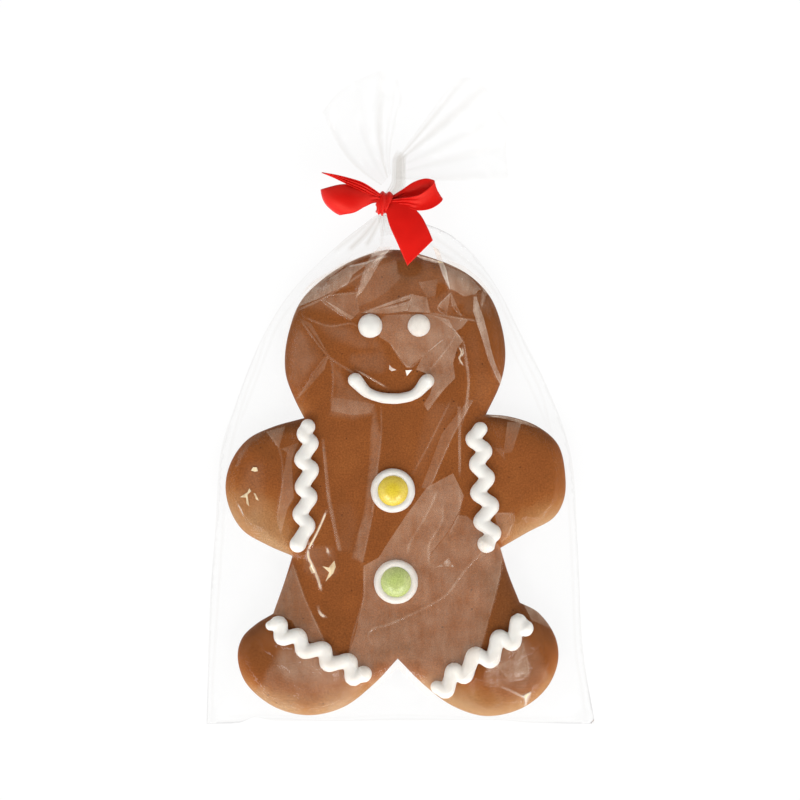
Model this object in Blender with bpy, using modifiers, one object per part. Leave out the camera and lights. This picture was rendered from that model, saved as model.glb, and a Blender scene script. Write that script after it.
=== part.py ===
"""Gingerbread man in a clear gift bag, tied with a satin ribbon bow. Blender 4.5.

The sealed bag is one closed solid with the bag's outer form: a flat underside, a film tent
round the biscuit, the biscuit's raised shape with its piped icing and two sugar lentils, the
gathered neck and the two flared lobes of the mouth. The ribbon is a second solid, tied round
the neck. Lengths are in millimetres here and become metres when a mesh is made.
+X is to the right of the figure seen from above, +Y runs towards its head, +Z is up.
The bag lies on Z = 0.
"""

import math

import bmesh
import bpy
import numpy as np
from mathutils import Vector
from mathutils.bvhtree import BVHTree

MM = 0.001

# Biscuit
BISCUIT_TOP = 12.3          # upper face above the ground
BISCUIT_BOTTOM = 0.6        # where its raised shape starts inside the bag
BISCUIT_ROUNDING = 4.5      # radius of the baked edge
OUTLINE_STEP = 5.5          # spacing of the outline's points

# The biscuit's outline, clockwise. Each run is one smooth lobe, and the runs meet in the sharp
# notches at the neck, under the arms, at the hips and at the crotch.
OUTLINE_RUNS = (
    # head, from the left side of the neck over the crown to the right side
    ((-44.6, -8.0), (-49.0, 0.9), (-52.8, 11.0), (-53.1, 20.0), (-51.2, 31.0), (-46.2, 44.3),
     (-37.0, 54.2), (-22.6, 63.8), (-4.5, 69.2), (15.0, 65.2), (31.0, 57.6), (41.2, 47.2),
     (46.6, 34.0), (48.2, 20.0), (46.0, 8.0), (39.4, -6.6)),
    # right arm
    ((39.4, -6.6), (50.0, -7.6), (63.0, -12.2), (72.2, -21.2), (75.6, -35.0), (75.0, -46.0),
     (70.4, -53.6), (58.5, -60.6), (46.0, -68.2)),
    # right flank
    ((46.0, -68.2), (49.6, -80.0), (54.9, -94.2)),
    # right foot
    ((54.9, -94.2), (63.2, -98.4), (71.2, -109.5), (72.4, -120.5), (67.4, -132.0),
     (55.0, -141.8), (38.9, -145.7), (24.0, -140.8), (10.6, -131.0), (-1.4, -119.2)),
    # left foot
    ((-1.4, -119.2), (-12.2, -130.6), (-27.0, -141.6), (-43.4, -145.2), (-59.0, -139.6),
     (-71.4, -127.6), (-75.0, -117.8), (-72.4, -108.0), (-66.4, -101.6), (-58.8, -98.2)),
    # left flank
    ((-58.8, -98.2), (-53.4, -83.0), (-50.0, -72.0)),
    # left arm
    ((-50.0, -72.0), (-62.0, -64.2), (-74.0, -55.4), (-79.6, -46.8), (-80.6, -38.0),
     (-77.6, -27.4), (-70.6, -17.8), (-59.0, -11.4), (-44.6, -8.0)),
)

# Icing: the turns of the four piped zigzags from one rope end to the other, and the rest
ZIGZAGS = {
    "left_arm": ((-41.9, -11.5), (-44.5, -15.6), (-41.1, -19.7), (-45.5, -27.5), (-40.9, -31.8),
                 (-45.3, -40.0), (-41.6, -44.4), (-46.3, -52.6), (-42.6, -57.5), (-46.9, -66.2)),
    "right_arm": ((36.4, -13.4), (33.1, -18.0), (38.6, -23.3), (34.7, -29.6), (39.8, -35.7),
                  (35.2, -42.7), (41.8, -48.5), (36.7, -55.8), (42.7, -61.1), (39.4, -65.9)),
    "left_foot": ((-59.8, -103.5), (-55.6, -102.5), (-54.6, -109.2), (-46.9, -108.2),
                  (-44.5, -115.3), (-35.4, -114.3), (-33.5, -121.2), (-23.6, -119.8),
                  (-22.0, -127.8), (-17.1, -125.8)),
    "right_foot": ((16.2, -132.3), (20.8, -134.7), (24.3, -123.9), (29.2, -127.0), (34.0, -116.7),
                   (41.5, -119.7), (45.0, -108.7), (51.4, -111.8), (53.8, -101.2), (57.1, -104.7)),
}
ROPE_THIN, ROPE_WIDE = 2.6, 3.3       # rope radius between turns and at a turn
ROPE_RISE = 0.3                       # height of the rope's centre over the biscuit
SMILE = ((-20.9, 9.1), (-14.9, 3.2), (-4.0, 0.6), (6.2, 2.6), (12.1, 8.7))
SMILE_RADIUS = 2.6
EYES = (((-14.0, 34.1), 5.7), ((8.4, 34.2), 5.2))     # centre and radius
EYE_RISE = 2.8
EYE_SINK = 0.5              # how far an eye's widest ring lies in the biscuit
BUTTONS = ((-3.6, -41.6), (-2.2, -83.5))
RING_RADIUS, RING_TUBE = 8.2, 2.2
LENTIL_RADIUS, LENTIL_HALF_HEIGHT, LENTIL_RISE = 7.5, 3.6, 1.4

# Bag: its side folds seen from above, from the bottom seam up to the neck
LEFT_FOLD = ((-89.8, -149.8), (-88.2, -92.0), (-85.9, -60.0), (-83.1, -23.0), (-77.4, -4.6),
             (-65.9, 25.3), (-55.5, 43.7), (-46.3, 55.2), (-27.9, 72.5), (-12.2, 85.0))
RIGHT_FOLD = ((89.8, -149.8), (84.3, -115.0), (82.0, -69.0), (78.3, -23.0), (66.4, 9.2),
              (54.9, 32.2), (46.8, 48.3), (34.2, 66.7), (20.4, 77.6), (-2.4, 85.0))
FILM_EDGE = 1.0             # thickness of the flat bag at its side folds and bottom seam
FILM_BELOW_TOP = 0.8        # how far the film tent stays under the biscuit's upper face
GATHER_START = 40.0         # Y where the film starts to gather in pleats
GATHER_PLEATS = 6
GATHER_DEPTH = 1.1
GRID_COLUMNS, GRID_ROWS = 36, 46
TENT_PASSES = 600

# Neck: its centre line as (x, y, z, radius)
NECK_RADIUS, NECK_HEIGHT = 4.9, 7.2
NECK_LINE = ((-5.0, 72.0, 6.4, 5.6), (-6.6, 82.0, 6.8, 5.0), (-7.0, 86.0, NECK_HEIGHT, NECK_RADIUS),
             (-7.0, 95.0, NECK_HEIGHT, NECK_RADIUS), (-5.0, 101.0, 7.8, 6.0),
             (-1.6, 108.0, 8.6, 5.0), (1.2, 114.0, 9.0, 4.0))
NECK_FLUTES = 8
NECK_FLUTE_DEPTH = 0.12     # as a share of the radius

# Flare: each lobe's rim as (x, y, z), the line it starts from, and how its first side bows out
LEFT_RIM = ((-36.0, 133.0, 7.0), (-29.0, 141.0, 13.0), (-18.7, 146.8, 20.0), (-3.8, 149.9, 26.0),
            (0.8, 137.0, 20.0))
LEFT_ROOT = ((-9.0, 99.0, 5.5), (-4.5, 104.0, 10.5))
LEFT_BOW = (-2.6, -3.0, -2.0)
RIGHT_RIM = ((49.6, 102.0, 5.0), (48.4, 117.0, 12.0), (49.2, 125.2, 17.0), (43.6, 133.8, 22.0),
             (38.8, 141.4, 27.0), (29.5, 146.5, 31.0), (20.8, 141.0, 28.0))
RIGHT_ROOT = ((-2.0, 102.0, 5.6), (0.0, 113.0, 11.0))
RIGHT_BOW = (0.0, -0.4, -1.6)
FLARE_THICKNESS = 0.9
PLEAT_DEPTH = 2.2
LEFT_PLEATS, RIGHT_PLEATS = 5, 7

# Ribbon: 15 mm satin. Each strip is a list of (x, y, z) centres with a half-width vector.
RIBBON_THICKNESS = 0.7
RIBBON_GAP = 0.35           # clearance between the ribbon and the film
BAND_CENTER = (-7.0, 90.4, NECK_HEIGHT)
BAND_DEPTH, BAND_LENGTH = 0.75, 8.4
KNOT_CENTER, KNOT_SIZE = (-6.9, 90.2, 15.2), (4.5, 5.0, 3.0)
STRIPS = {
    "left_loop": ((-7.0, 91.0, 14.0, 0.5, -2.0, 0.4), (-15.0, 90.8, 12.5, 1.8, -4.6, 0.4),
                  (-24.0, 90.6, 12.8, 3.6, -5.9, 0.0), (-30.4, 90.4, 14.8, 4.5, -5.8, 0.0),
                  (-32.4, 90.3, 17.4, 4.6, -5.8, 0.0), (-30.2, 90.6, 19.8, 4.4, -5.8, 0.0),
                  (-23.0, 91.6, 20.6, 3.2, -6.4, 0.4), (-14.5, 92.0, 18.8, 1.6, -4.6, 0.6),
                  (-7.0, 91.0, 16.0, 0.5, -2.0, 0.4)),
    "right_loop": ((-6.0, 90.6, 14.4, 0.2, -1.0, 1.6), (2.0, 89.4, 13.4, 0.4, -2.4, 4.4),
                   (9.5, 90.6, 13.0, 0.4, -3.6, 6.4), (15.2, 93.0, 13.2, 1.6, -2.2, 7.0),
                   (16.8, 95.8, 13.6, 2.6, 0.6, 7.0), (13.6, 98.0, 14.0, 0.8, 3.0, 6.8),
                   (6.0, 96.4, 14.2, 0.0, 2.6, 5.4), (-1.0, 93.2, 14.6, 0.0, 1.6, 3.0),
                   (-6.0, 91.0, 15.0, 0.2, 0.8, 1.6)),
    "upper_tail": ((-7.0, 92.0, 15.0, 0.2, 0.8, 1.6), (-13.0, 96.2, 14.6, 0.4, 1.6, 4.4),
                   (-22.0, 100.4, 14.0, 0.4, 1.2, 6.6), (-31.6, 103.2, 13.6, -4.4, 1.6, 6.6)),
    "lower_tail": ((-5.6, 89.4, 15.4, 1.6, 1.4, 0.2), (-1.0, 85.8, 17.0, 5.2, 2.6, -0.4),
                   (4.2, 78.0, 17.6, 6.9, 2.9, -0.4), (8.85, 67.3, 17.0, 5.85, 5.8, 0.0)),
}


def smooth_path(points, step):
    """Points about step apart along a centripetal Catmull-Rom curve through points."""
    p = [np.array(q, float) for q in points]
    p = [2 * p[0] - p[1]] + p + [2 * p[-1] - p[-2]]
    path = []
    for quad in zip(p, p[1:], p[2:], p[3:]):
        knots = [0.0]
        for u, v in zip(quad, quad[1:]):
            knots.append(knots[-1] + math.sqrt(np.linalg.norm(v - u)) + 1e-9)
        pieces = max(1, round(np.linalg.norm(quad[2] - quad[1]) / step))
        for i in range(pieces):
            path.append(curve_point(quad, knots, knots[1] + (knots[2] - knots[1]) * i / pieces))
    return np.array(path + [p[-2]])


def curve_point(p, k, t):
    """The point at knot value t between p[1] and p[2] of a Catmull-Rom curve."""
    line = [((k[i + 1] - t) * p[i] + (t - k[i]) * p[i + 1]) / (k[i + 1] - k[i]) for i in range(3)]
    arc = [((k[i + 2] - t) * line[i] + (t - k[i]) * line[i + 1]) / (k[i + 2] - k[i])
           for i in range(2)]
    return ((k[2] - t) * arc[0] + (t - k[1]) * arc[1]) / (k[2] - k[1])


def material(name, color, roughness, metallic):
    mat = bpy.data.materials.new(name)
    mat.use_nodes = True
    shader = mat.node_tree.nodes["Principled BSDF"]
    shader.inputs["Base Color"].default_value = (*color, 1.0)
    shader.inputs["Roughness"].default_value = roughness
    shader.inputs["Metallic"].default_value = metallic
    return mat


def add_object(name, mesh, collection):
    obj = bpy.data.objects.new(name, mesh)
    collection.objects.link(obj)
    return obj


def object_from_bmesh(name, bm, collection):
    """A new object from bm, whose coordinates are in millimetres."""
    bmesh.ops.recalc_face_normals(bm, faces=bm.faces)
    bmesh.ops.scale(bm, vec=Vector((MM, MM, MM)), verts=bm.verts)
    mesh = bpy.data.meshes.new(name)
    bm.to_mesh(mesh)
    bm.free()
    return add_object(name, mesh, collection)


def guide(obj):
    """Marks a construction solid, from which the bag or the ribbon is joined."""
    obj.hide_render = True
    obj.display_type = "WIRE"
    return obj


def evaluated_mesh(obj):
    bpy.context.view_layer.update()
    evaluated = obj.evaluated_get(bpy.context.evaluated_depsgraph_get())
    return bpy.data.meshes.new_from_object(evaluated)


def solid_from_curve(curve_object, collection):
    """A construction solid with the curve's shape and welded caps, in place of the curve."""
    mesh = evaluated_mesh(curve_object)
    bm = bmesh.new()
    bm.from_mesh(mesh)
    bmesh.ops.remove_doubles(bm, verts=bm.verts, dist=0.00002)
    bmesh.ops.recalc_face_normals(bm, faces=bm.faces)
    bm.to_mesh(mesh)
    bm.free()
    solid = add_object(curve_object.name + "_solid", mesh, collection)
    solid.matrix_world = curve_object.matrix_world
    bpy.data.objects.remove(curve_object)
    return guide(solid)


def rope(name, points, radii, collection):
    """A round rope along (x, y) points on the biscuit, with a radius at each point."""
    step = 2.9
    path = smooth_path([(*p, r) for p, r in zip(points, radii)], step)
    curve = bpy.data.curves.new(name, "CURVE")
    curve.dimensions = "3D"
    curve.bevel_depth = MM
    curve.bevel_resolution = 2
    curve.use_fill_caps = True
    spline = curve.splines.new("POLY")
    spline.points.add(len(path) - 1)
    for point, (x, y, radius) in zip(spline.points, path):
        point.co = (x * MM, y * MM, (BISCUIT_TOP + ROPE_RISE) * MM, 1.0)
        point.radius = radius
    return solid_from_curve(add_object(name, curve, collection), collection)


def biscuit(collection):
    """The biscuit: its outline extruded, with a rounded edge."""
    outline = [p for run in OUTLINE_RUNS for p in smooth_path(run, OUTLINE_STEP)[:-1]]
    curve = bpy.data.curves.new("biscuit", "CURVE")
    curve.dimensions = "2D"
    curve.fill_mode = "BOTH"
    curve.extrude = (BISCUIT_TOP - BISCUIT_BOTTOM - 2 * BISCUIT_ROUNDING) / 2 * MM
    curve.bevel_depth = BISCUIT_ROUNDING * MM
    curve.bevel_resolution = 1
    curve.offset = -BISCUIT_ROUNDING * MM
    spline = curve.splines.new("POLY")
    spline.points.add(len(outline) - 1)
    spline.use_cyclic_u = True
    for point, (x, y) in zip(spline.points, outline):
        point.co = (x * MM, y * MM, 0.0, 1.0)
    obj = add_object("biscuit", curve, collection)
    obj.location.z = (BISCUIT_TOP + BISCUIT_BOTTOM) / 2 * MM
    return solid_from_curve(obj, collection)


def ellipsoid(name, center, half_sizes, collection):
    """A flattened ball: an icing dot, a sugar lentil or the ribbon's knot."""
    bm = bmesh.new()
    bmesh.ops.create_uvsphere(bm, u_segments=14, v_segments=8, radius=1.0)
    bmesh.ops.scale(bm, vec=Vector(half_sizes), verts=bm.verts)
    bmesh.ops.translate(bm, vec=Vector(center), verts=bm.verts)
    return guide(object_from_bmesh(name, bm, collection))


def turned_ring(radius, half_width, half_length, steps):
    """A bmesh ring round Z: an elliptical section of the given half sizes at the radius."""
    bm = bmesh.new()
    section = bmesh.ops.create_circle(bm, cap_ends=False, segments=8, radius=1.0)
    for v in section["verts"]:
        v.co = Vector((radius + half_width * v.co.x, 0.0, half_length * v.co.y))
    bmesh.ops.spin(bm, geom=bm.verts[:] + bm.edges[:], axis=(0, 0, 1), cent=(0, 0, 0),
                   angle=2 * math.pi, steps=steps, use_merge=True)
    bmesh.ops.remove_doubles(bm, verts=bm.verts, dist=0.001)
    return bm


def zigzag(name, turns, collection):
    """A piped zigzag: thick where the rope turns, thinner on the strokes between."""
    points = []
    radii = []
    for here, there in zip(turns, turns[1:]):
        points += [here, tuple((np.array(here) + np.array(there)) / 2)]
        radii += [ROPE_WIDE, ROPE_THIN]
    rope(name, points + [turns[-1]], radii + [ROPE_WIDE], collection)


def icing_and_lentils(collection):
    """Zigzags, smile, eyes, and the two icing rings with a lentil in each."""
    for name, turns in ZIGZAGS.items():
        zigzag("icing_" + name, turns, collection)
    rope("icing_smile", SMILE, [SMILE_RADIUS] * len(SMILE), collection)
    for i, (center, radius) in enumerate(EYES, 1):
        ellipsoid("icing_eye_%d" % i, (*center, BISCUIT_TOP - EYE_SINK),
                  (radius, radius, EYE_RISE + EYE_SINK), collection)
    for i, center in enumerate(BUTTONS, 1):
        ring = turned_ring(RING_RADIUS, RING_TUBE, RING_TUBE, 20)
        bmesh.ops.translate(ring, vec=Vector((*center, BISCUIT_TOP + ROPE_RISE)), verts=ring.verts)
        guide(object_from_bmesh("icing_ring_%d" % i, ring, collection))
        ellipsoid("lentil_%d" % i, (*center, BISCUIT_TOP + LENTIL_RISE),
                  (LENTIL_RADIUS, LENTIL_RADIUS, LENTIL_HALF_HEIGHT), collection)


def fold_x(fold, y):
    """The X of a side fold at the heights y up the bag."""
    path = smooth_path(fold, 3.0)
    return np.interp(y, path[:, 1], path[:, 0])


def surface_under(solid, x, y):
    """The height of the solid's top at each (x, y), or 0 beside it."""
    mesh = evaluated_mesh(solid)
    mesh.transform(solid.matrix_world)
    bm = bmesh.new()
    bm.from_mesh(mesh)
    tree = BVHTree.FromBMesh(bm)
    bm.free()
    heights = np.zeros(x.shape)
    for place in np.ndindex(x.shape):
        hit = tree.ray_cast(Vector((x[place] * MM, y[place] * MM, 1.0)), Vector((0, 0, -1)))[0]
        if hit is not None:
            heights[place] = hit.z / MM
    return heights


def tent_heights(x, y, across, raised):
    """Film heights: stretched over the biscuit, down to the flat edges, up into the neck."""
    floor = np.maximum(FILM_EDGE, surface_under(raised, x, y) - FILM_BELOW_TOP)
    neck_top = NECK_HEIGHT + NECK_RADIUS - 1.0
    floor[0] = floor[:, 0] = floor[:, -1] = FILM_EDGE
    floor[-1] = FILM_EDGE + (neck_top - FILM_EDGE) * np.sin(math.pi * across) ** 0.7
    fixed = np.zeros(x.shape, bool)
    fixed[0] = fixed[-1] = fixed[:, 0] = fixed[:, -1] = True
    z = floor.copy()
    for _ in range(TENT_PASSES):
        mean = (np.roll(z, 1, 0) + np.roll(z, -1, 0) + np.roll(z, 1, 1) + np.roll(z, -1, 1)) / 4
        z = np.where(fixed, floor, np.maximum(floor, mean))
    gather = np.clip((y - GATHER_START) / (y.max() - GATHER_START), 0.0, 1.0)
    pleats = np.cos(2 * math.pi * GATHER_PLEATS * across) * np.sin(math.pi * across)
    return z + 4.0 * gather * (1.0 - gather) * GATHER_DEPTH * pleats


def pouch(raised, collection):
    """The film tent as a closed solid on a flat underside."""
    bottom, shoulder = LEFT_FOLD[0][1], LEFT_FOLD[-1][1]
    rows = np.linspace(bottom, shoulder, GRID_ROWS + 1)
    left, right = fold_x(LEFT_FOLD, rows), fold_x(RIGHT_FOLD, rows)
    across = np.linspace(0.0, 1.0, GRID_COLUMNS + 1)
    x = left[:, None] + (right - left)[:, None] * across
    y = np.repeat(rows[:, None], GRID_COLUMNS + 1, axis=1)
    z = tent_heights(x, y, across, raised)
    bm = bmesh.new()
    bmesh.ops.create_grid(bm, x_segments=GRID_COLUMNS, y_segments=GRID_ROWS, size=0.5)
    for v in bm.verts:
        place = round((v.co.y + 0.5) * GRID_ROWS), round((v.co.x + 0.5) * GRID_COLUMNS)
        v.co = Vector((x[place], y[place], z[place]))
    rim = [e for e in bm.edges if e.is_boundary]
    for v in bmesh.ops.extrude_edge_only(bm, edges=rim)["geom"]:
        if isinstance(v, bmesh.types.BMVert):
            v.co.z = 0.0
    bmesh.ops.contextual_create(bm, geom=[e for e in bm.edges if e.is_boundary])
    return object_from_bmesh("bag", bm, collection)


def neck(collection):
    """The gathered neck: a fluted bundle of film that carries on into the flare."""
    line = smooth_path(NECK_LINE, 5.0)
    sides = 2 * NECK_FLUTES
    bm = bmesh.new()
    rings = []
    for k, (*center, radius) in enumerate(line):
        ahead = line[min(k + 1, len(line) - 1)][:3] - line[max(k - 1, 0)][:3]
        turn = Vector(ahead).to_track_quat("Z", "Y").to_matrix()
        ring = []
        for s in range(sides):
            angle = 2 * math.pi * s / sides
            r = radius * (1.0 - NECK_FLUTE_DEPTH * (s % 2))
            spoke = turn @ Vector((r * math.cos(angle), r * math.sin(angle), 0.0))
            ring.append(bm.verts.new(Vector(center) + spoke))
        rings.append(ring)
    for low, high in zip(rings, rings[1:]):
        for s in range(sides):
            after = (s + 1) % sides
            bm.faces.new((low[s], low[after], high[after], high[s]))
    bm.faces.new(rings[0])
    bm.faces.new(rings[-1])
    return guide(object_from_bmesh("neck", bm, collection))


def thick_sheet(name, place, columns, rows, thickness, collection):
    """A sheet solid: place(across, along) gives the point at two shares from 0 to 1."""
    bm = bmesh.new()
    bmesh.ops.create_grid(bm, x_segments=columns, y_segments=rows, size=0.5)
    for v in bm.verts:
        v.co = place(v.co.x + 0.5, v.co.y + 0.5)
    sheet = guide(object_from_bmesh(name, bm, collection))
    solidify = sheet.modifiers.new("thickness", "SOLIDIFY")
    solidify.thickness = thickness * MM
    solidify.offset = 0.0
    return sheet


def flare_lobe(name, root, rim, bow, pleats, collection):
    """One pleated lobe of the bag's mouth, which fans out from root to rim."""
    rim_path = smooth_path(rim, 4.6)
    columns = len(rim_path) - 1
    first, last = Vector(root[0]), Vector(root[1])

    def place(across, along):
        point = first.lerp(last, across).lerp(Vector(rim_path[round(across * columns)]), along)
        point += Vector(bow) * (4 * along * (1 - along) * (1 - across))
        fade = min(1.0, 4 * across, 4 * (1 - across)) * math.sin(math.pi / 2 * along)
        point.z += PLEAT_DEPTH * fade * math.sin(math.pi * pleats * across)
        return point

    return thick_sheet(name, place, columns, 4, FLARE_THICKNESS, collection)


def strip(name, controls, collection):
    """A ribbon strip through (centre, half-width) controls."""
    stations = smooth_path(controls, 3.4)
    rows = len(stations) - 1

    def place(across, along):
        station = stations[round(along * rows)]
        return Vector(station[:3]) + Vector(station[3:]) * (2 * across - 1)

    return thick_sheet(name, place, 1, rows, RIBBON_THICKNESS, collection)


def join(target, parts):
    """Joins the parts to target and keeps the one body, without specks left by the ropes."""
    for part in parts:
        union = target.modifiers.new("join_" + part.name, "BOOLEAN")
        union.operation = "UNION"
        union.solver = "EXACT"
        union.use_self = True
        union.object = part
    joined = evaluated_mesh(target)
    target.modifiers.clear()
    bm = bmesh.new()
    bm.from_mesh(joined)
    bodies = []
    waiting = set(bm.verts)
    while waiting:
        body = {waiting.pop()}
        edge_of_body = list(body)
        while edge_of_body:
            near = {e.other_vert(v) for v in edge_of_body for e in v.link_edges} - body
            body |= near
            edge_of_body = list(near)
        waiting -= body
        bodies.append(body)
    bodies.sort(key=len)
    bmesh.ops.delete(bm, geom=[v for body in bodies[:-1] for v in body], context="VERTS")
    bm.to_mesh(joined)
    bm.free()
    joined.shade_smooth()
    joined.set_sharp_from_angle(angle=math.radians(40))
    target.data = joined


def bag(model, construction):
    """The bag: the film tent joined with the biscuit's raised shape, the neck and the flare."""
    raised = biscuit(construction)
    icing_and_lentils(construction)
    neck(construction)
    flare_lobe("flare_left", LEFT_ROOT, LEFT_RIM, LEFT_BOW, LEFT_PLEATS, construction)
    flare_lobe("flare_right", RIGHT_ROOT, RIGHT_RIM, RIGHT_BOW, RIGHT_PLEATS, construction)
    solid = pouch(raised, model)
    join(solid, list(construction.objects))
    solid.data.materials.append(material("film_over_gingerbread", (0.52, 0.27, 0.14), 0.25, 0.0))


def ribbon(model, construction):
    """The bow: the turn round the neck, the knot on it, two loops and two tails."""
    bm = turned_ring(NECK_RADIUS + RIBBON_GAP + BAND_DEPTH, BAND_DEPTH, BAND_LENGTH / 2, 16)
    along_neck = Vector((0, 1, 0)).to_track_quat("Z", "Y").to_matrix()
    bmesh.ops.rotate(bm, cent=(0, 0, 0), verts=bm.verts, matrix=along_neck)
    bmesh.ops.translate(bm, vec=Vector(BAND_CENTER), verts=bm.verts)
    solid = object_from_bmesh("ribbon", bm, model)
    parts = [ellipsoid("knot", KNOT_CENTER, KNOT_SIZE, construction)]
    parts += [strip(name, controls, construction) for name, controls in STRIPS.items()]
    join(solid, parts)
    solid.data.materials.append(material("red_satin", (0.72, 0.03, 0.02), 0.35, 0.0))


def main():
    for obj in list(bpy.data.objects):
        bpy.data.objects.remove(obj)
    collections = {}
    for name in ("gingerbread_man_in_bag", "bag_construction", "ribbon_construction"):
        collections[name] = bpy.data.collections.new(name)
        bpy.context.scene.collection.children.link(collections[name])
    bag(collections["gingerbread_man_in_bag"], collections["bag_construction"])
    ribbon(collections["gingerbread_man_in_bag"], collections["ribbon_construction"])


main()
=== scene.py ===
"""Looks of the gingerbread man in a clear gift bag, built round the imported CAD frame.

The bag's CAD solid is replaced by what it stands for: the baked biscuit, its piped icing, the
two sugar lentils, and the clear film round them with its creases, folds, gathered neck and
flared mouth. The CAD ribbon is replaced by a satin bow. Lengths are in millimetres and become
metres when a mesh is made. +Y is towards the figure's head, and left and right are as seen
from above.
"""

import math
import random

import bmesh
import bpy
import numpy as np
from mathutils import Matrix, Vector, noise
from mathutils.bvhtree import BVHTree
from mathutils.geometry import delaunay_2d_cdt


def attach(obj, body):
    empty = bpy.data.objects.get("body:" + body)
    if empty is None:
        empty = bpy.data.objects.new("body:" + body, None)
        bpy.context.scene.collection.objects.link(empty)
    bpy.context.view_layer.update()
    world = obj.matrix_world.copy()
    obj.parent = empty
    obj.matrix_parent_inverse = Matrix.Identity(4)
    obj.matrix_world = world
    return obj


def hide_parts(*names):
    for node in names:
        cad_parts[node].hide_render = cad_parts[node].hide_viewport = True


MM = 0.001
BODY = "root"

# Camera: straight above, a long lens
LENS, SENSOR = 150.0, 36.0
VIEW_WIDTH = 368.0          # what the frame takes in at the biscuit's face
VIEW_CENTER = (-0.35, 0.0)

# Biscuit
BISCUIT_TOP, BISCUIT_BOTTOM, BISCUIT_EDGE = 12.3, 0.6, 4.6
TOP_ROUNDING, BOTTOM_ROUNDING, TOP_FULLNESS = 7.0, 3.0, 2.3
HEAD_Y, FEET_Y = -8.0, -92.0
BISCUIT_TRIANGLE, FILL_INSET, OUTLINE_STEP = 1.7, 6.3, 1.1
INSETS = (0.25, 0.7, 1.4, 2.4, 3.7, 5.3)
OUTLINE_RUNS = (
    # head
    ((-44.6, -8.3), (-49.2, 0.9), (-52.9, 11.0), (-53.5, 20.0), (-51.7, 31.4), (-46.7, 44.7),
     (-37.4, 54.7), (-22.8, 64.1), (-4.5, 69.4), (15.0, 65.4), (31.2, 57.9), (41.4, 47.4),
     (46.6, 34.0), (48.3, 20.0), (46.1, 8.0), (39.4, -6.6)),
    # right arm and flank
    ((39.4, -6.6), (50.0, -7.6), (63.0, -12.1), (72.6, -20.6), (76.0, -35.0), (75.3, -46.0),
     (70.6, -54.3), (58.5, -61.1), (46.0, -68.3)),
    ((46.0, -68.3), (49.6, -80.0), (54.9, -93.4)),
    # feet
    ((54.9, -93.4), (63.6, -98.2), (71.4, -109.5), (72.6, -120.5), (67.6, -132.6),
     (56.0, -142.2), (39.4, -145.9), (24.0, -141.2), (10.4, -131.2), (-1.4, -119.4)),
    ((-1.4, -119.4), (-12.4, -131.1), (-26.8, -141.9), (-43.0, -145.5), (-58.8, -141.4),
     (-71.6, -130.4), (-75.3, -118.5), (-73.2, -109.8), (-66.8, -103.4), (-58.9, -98.6)),
    # left flank and arm
    ((-58.9, -98.6), (-53.4, -83.0), (-50.0, -72.0)),
    ((-50.0, -72.0), (-61.7, -66.9), (-72.8, -60.2), (-78.9, -50.4), (-80.9, -39.0),
     (-78.0, -27.8), (-70.6, -18.1), (-59.4, -12.5), (-44.6, -8.3)),
)

# Crust colour by toast value, from the darker upper edges to the pale lower ones: partly browning,
# partly painted shade on edges facing away from the lamps and painted light on edges facing them
CRUST_AND_PAINTED_LIGHT = ((0.0, (0.185, 0.062, 0.018)), (0.2, (0.190, 0.061, 0.0155)),
         (0.35, (0.220, 0.068, 0.016)), (0.5, (0.258, 0.077, 0.018)),
         (0.65, (0.310, 0.099, 0.024)), (0.8, (0.385, 0.163, 0.056)), (1.0, (0.41, 0.228, 0.108)))
# Places made browner, paler where the amount is negative, mostly as uneven baking; the one at (3, 61)
# is a painted shadow under the tip of the ribbon's lower tail: x, y, reach across and along, how much
BROWNED_AND_SHADOWED = ((47, -90, 9, 15, 0.28), (-1.4, -121, 12, 9, 0.55), (-52, -92, 7, 12, 0.15),
           (-6, 67, 26, 9, -0.25), (40, 41, 9, 9, 0.12), (-65, -53, 16, 12, -0.25),
           (34, -134, 16, 8, -0.2), (-42, -136, 22, 8, -0.1), (3, 61, 7, 6, 0.45))

# Icing: the turns of the piped zigzags, from one rope end to the other
ZIGZAGS = {
    "left_arm": ((-42.6, -12.2), (-44.5, -15.6), (-41.1, -19.7), (-45.5, -27.5), (-40.9, -31.8),
                 (-45.3, -40.0), (-41.6, -44.4), (-46.3, -52.6), (-42.6, -57.5), (-47.2, -66.2)),
    "right_arm": ((36.4, -13.4), (33.1, -18.0), (38.6, -23.3), (34.7, -29.6), (39.8, -35.7),
                  (35.2, -42.7), (41.8, -48.5), (36.7, -55.8), (42.7, -61.1), (39.4, -65.9)),
    "left_foot": ((-59.8, -103.5), (-55.6, -102.5), (-54.6, -109.2), (-46.9, -108.2),
                  (-44.5, -115.3), (-35.4, -114.3), (-33.5, -121.2), (-23.6, -119.8),
                  (-22.0, -127.8), (-17.1, -125.8)),
    "right_foot": ((16.6, -131.8), (20.8, -133.6), (24.3, -123.9), (29.2, -127.0), (34.0, -116.7),
                   (41.5, -119.7), (45.0, -108.7), (51.4, -111.8), (53.8, -101.2), (57.1, -104.7)),
}
ROPE_THIN, ROPE_WIDE, ROPE_STEP = 3.3, 3.5, 0.6
ROPE_FLATNESS, ROPE_LIFT = 0.80, 0.35
ROPE_END_ANGLES = (0.0, 0.35, 0.75, 1.1, 1.45)
ROPE_ENDS = {"left_arm": (3.5, 3.9), "right_arm": (3.4, 4.3), "left_foot": (2.3, 3.9),
             "right_foot": (3.0, 3.9)}
SMILE = ((-20.9, 9.1), (-14.9, 3.2), (-4.0, 0.6), (6.2, 2.6), (12.1, 8.7))
SMILE_THIN, SMILE_WIDE = 2.45, 3.4
EYES = {"left": ((-14.0, 34.1), 5.6), "right": ((8.4, 34.2), 5.2)}
EYE_HEIGHT, RING_RISE = 3.0, 0.4
BUTTONS = {"yellow": (-3.6, -41.6), "green": (-2.2, -83.5)}
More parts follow.
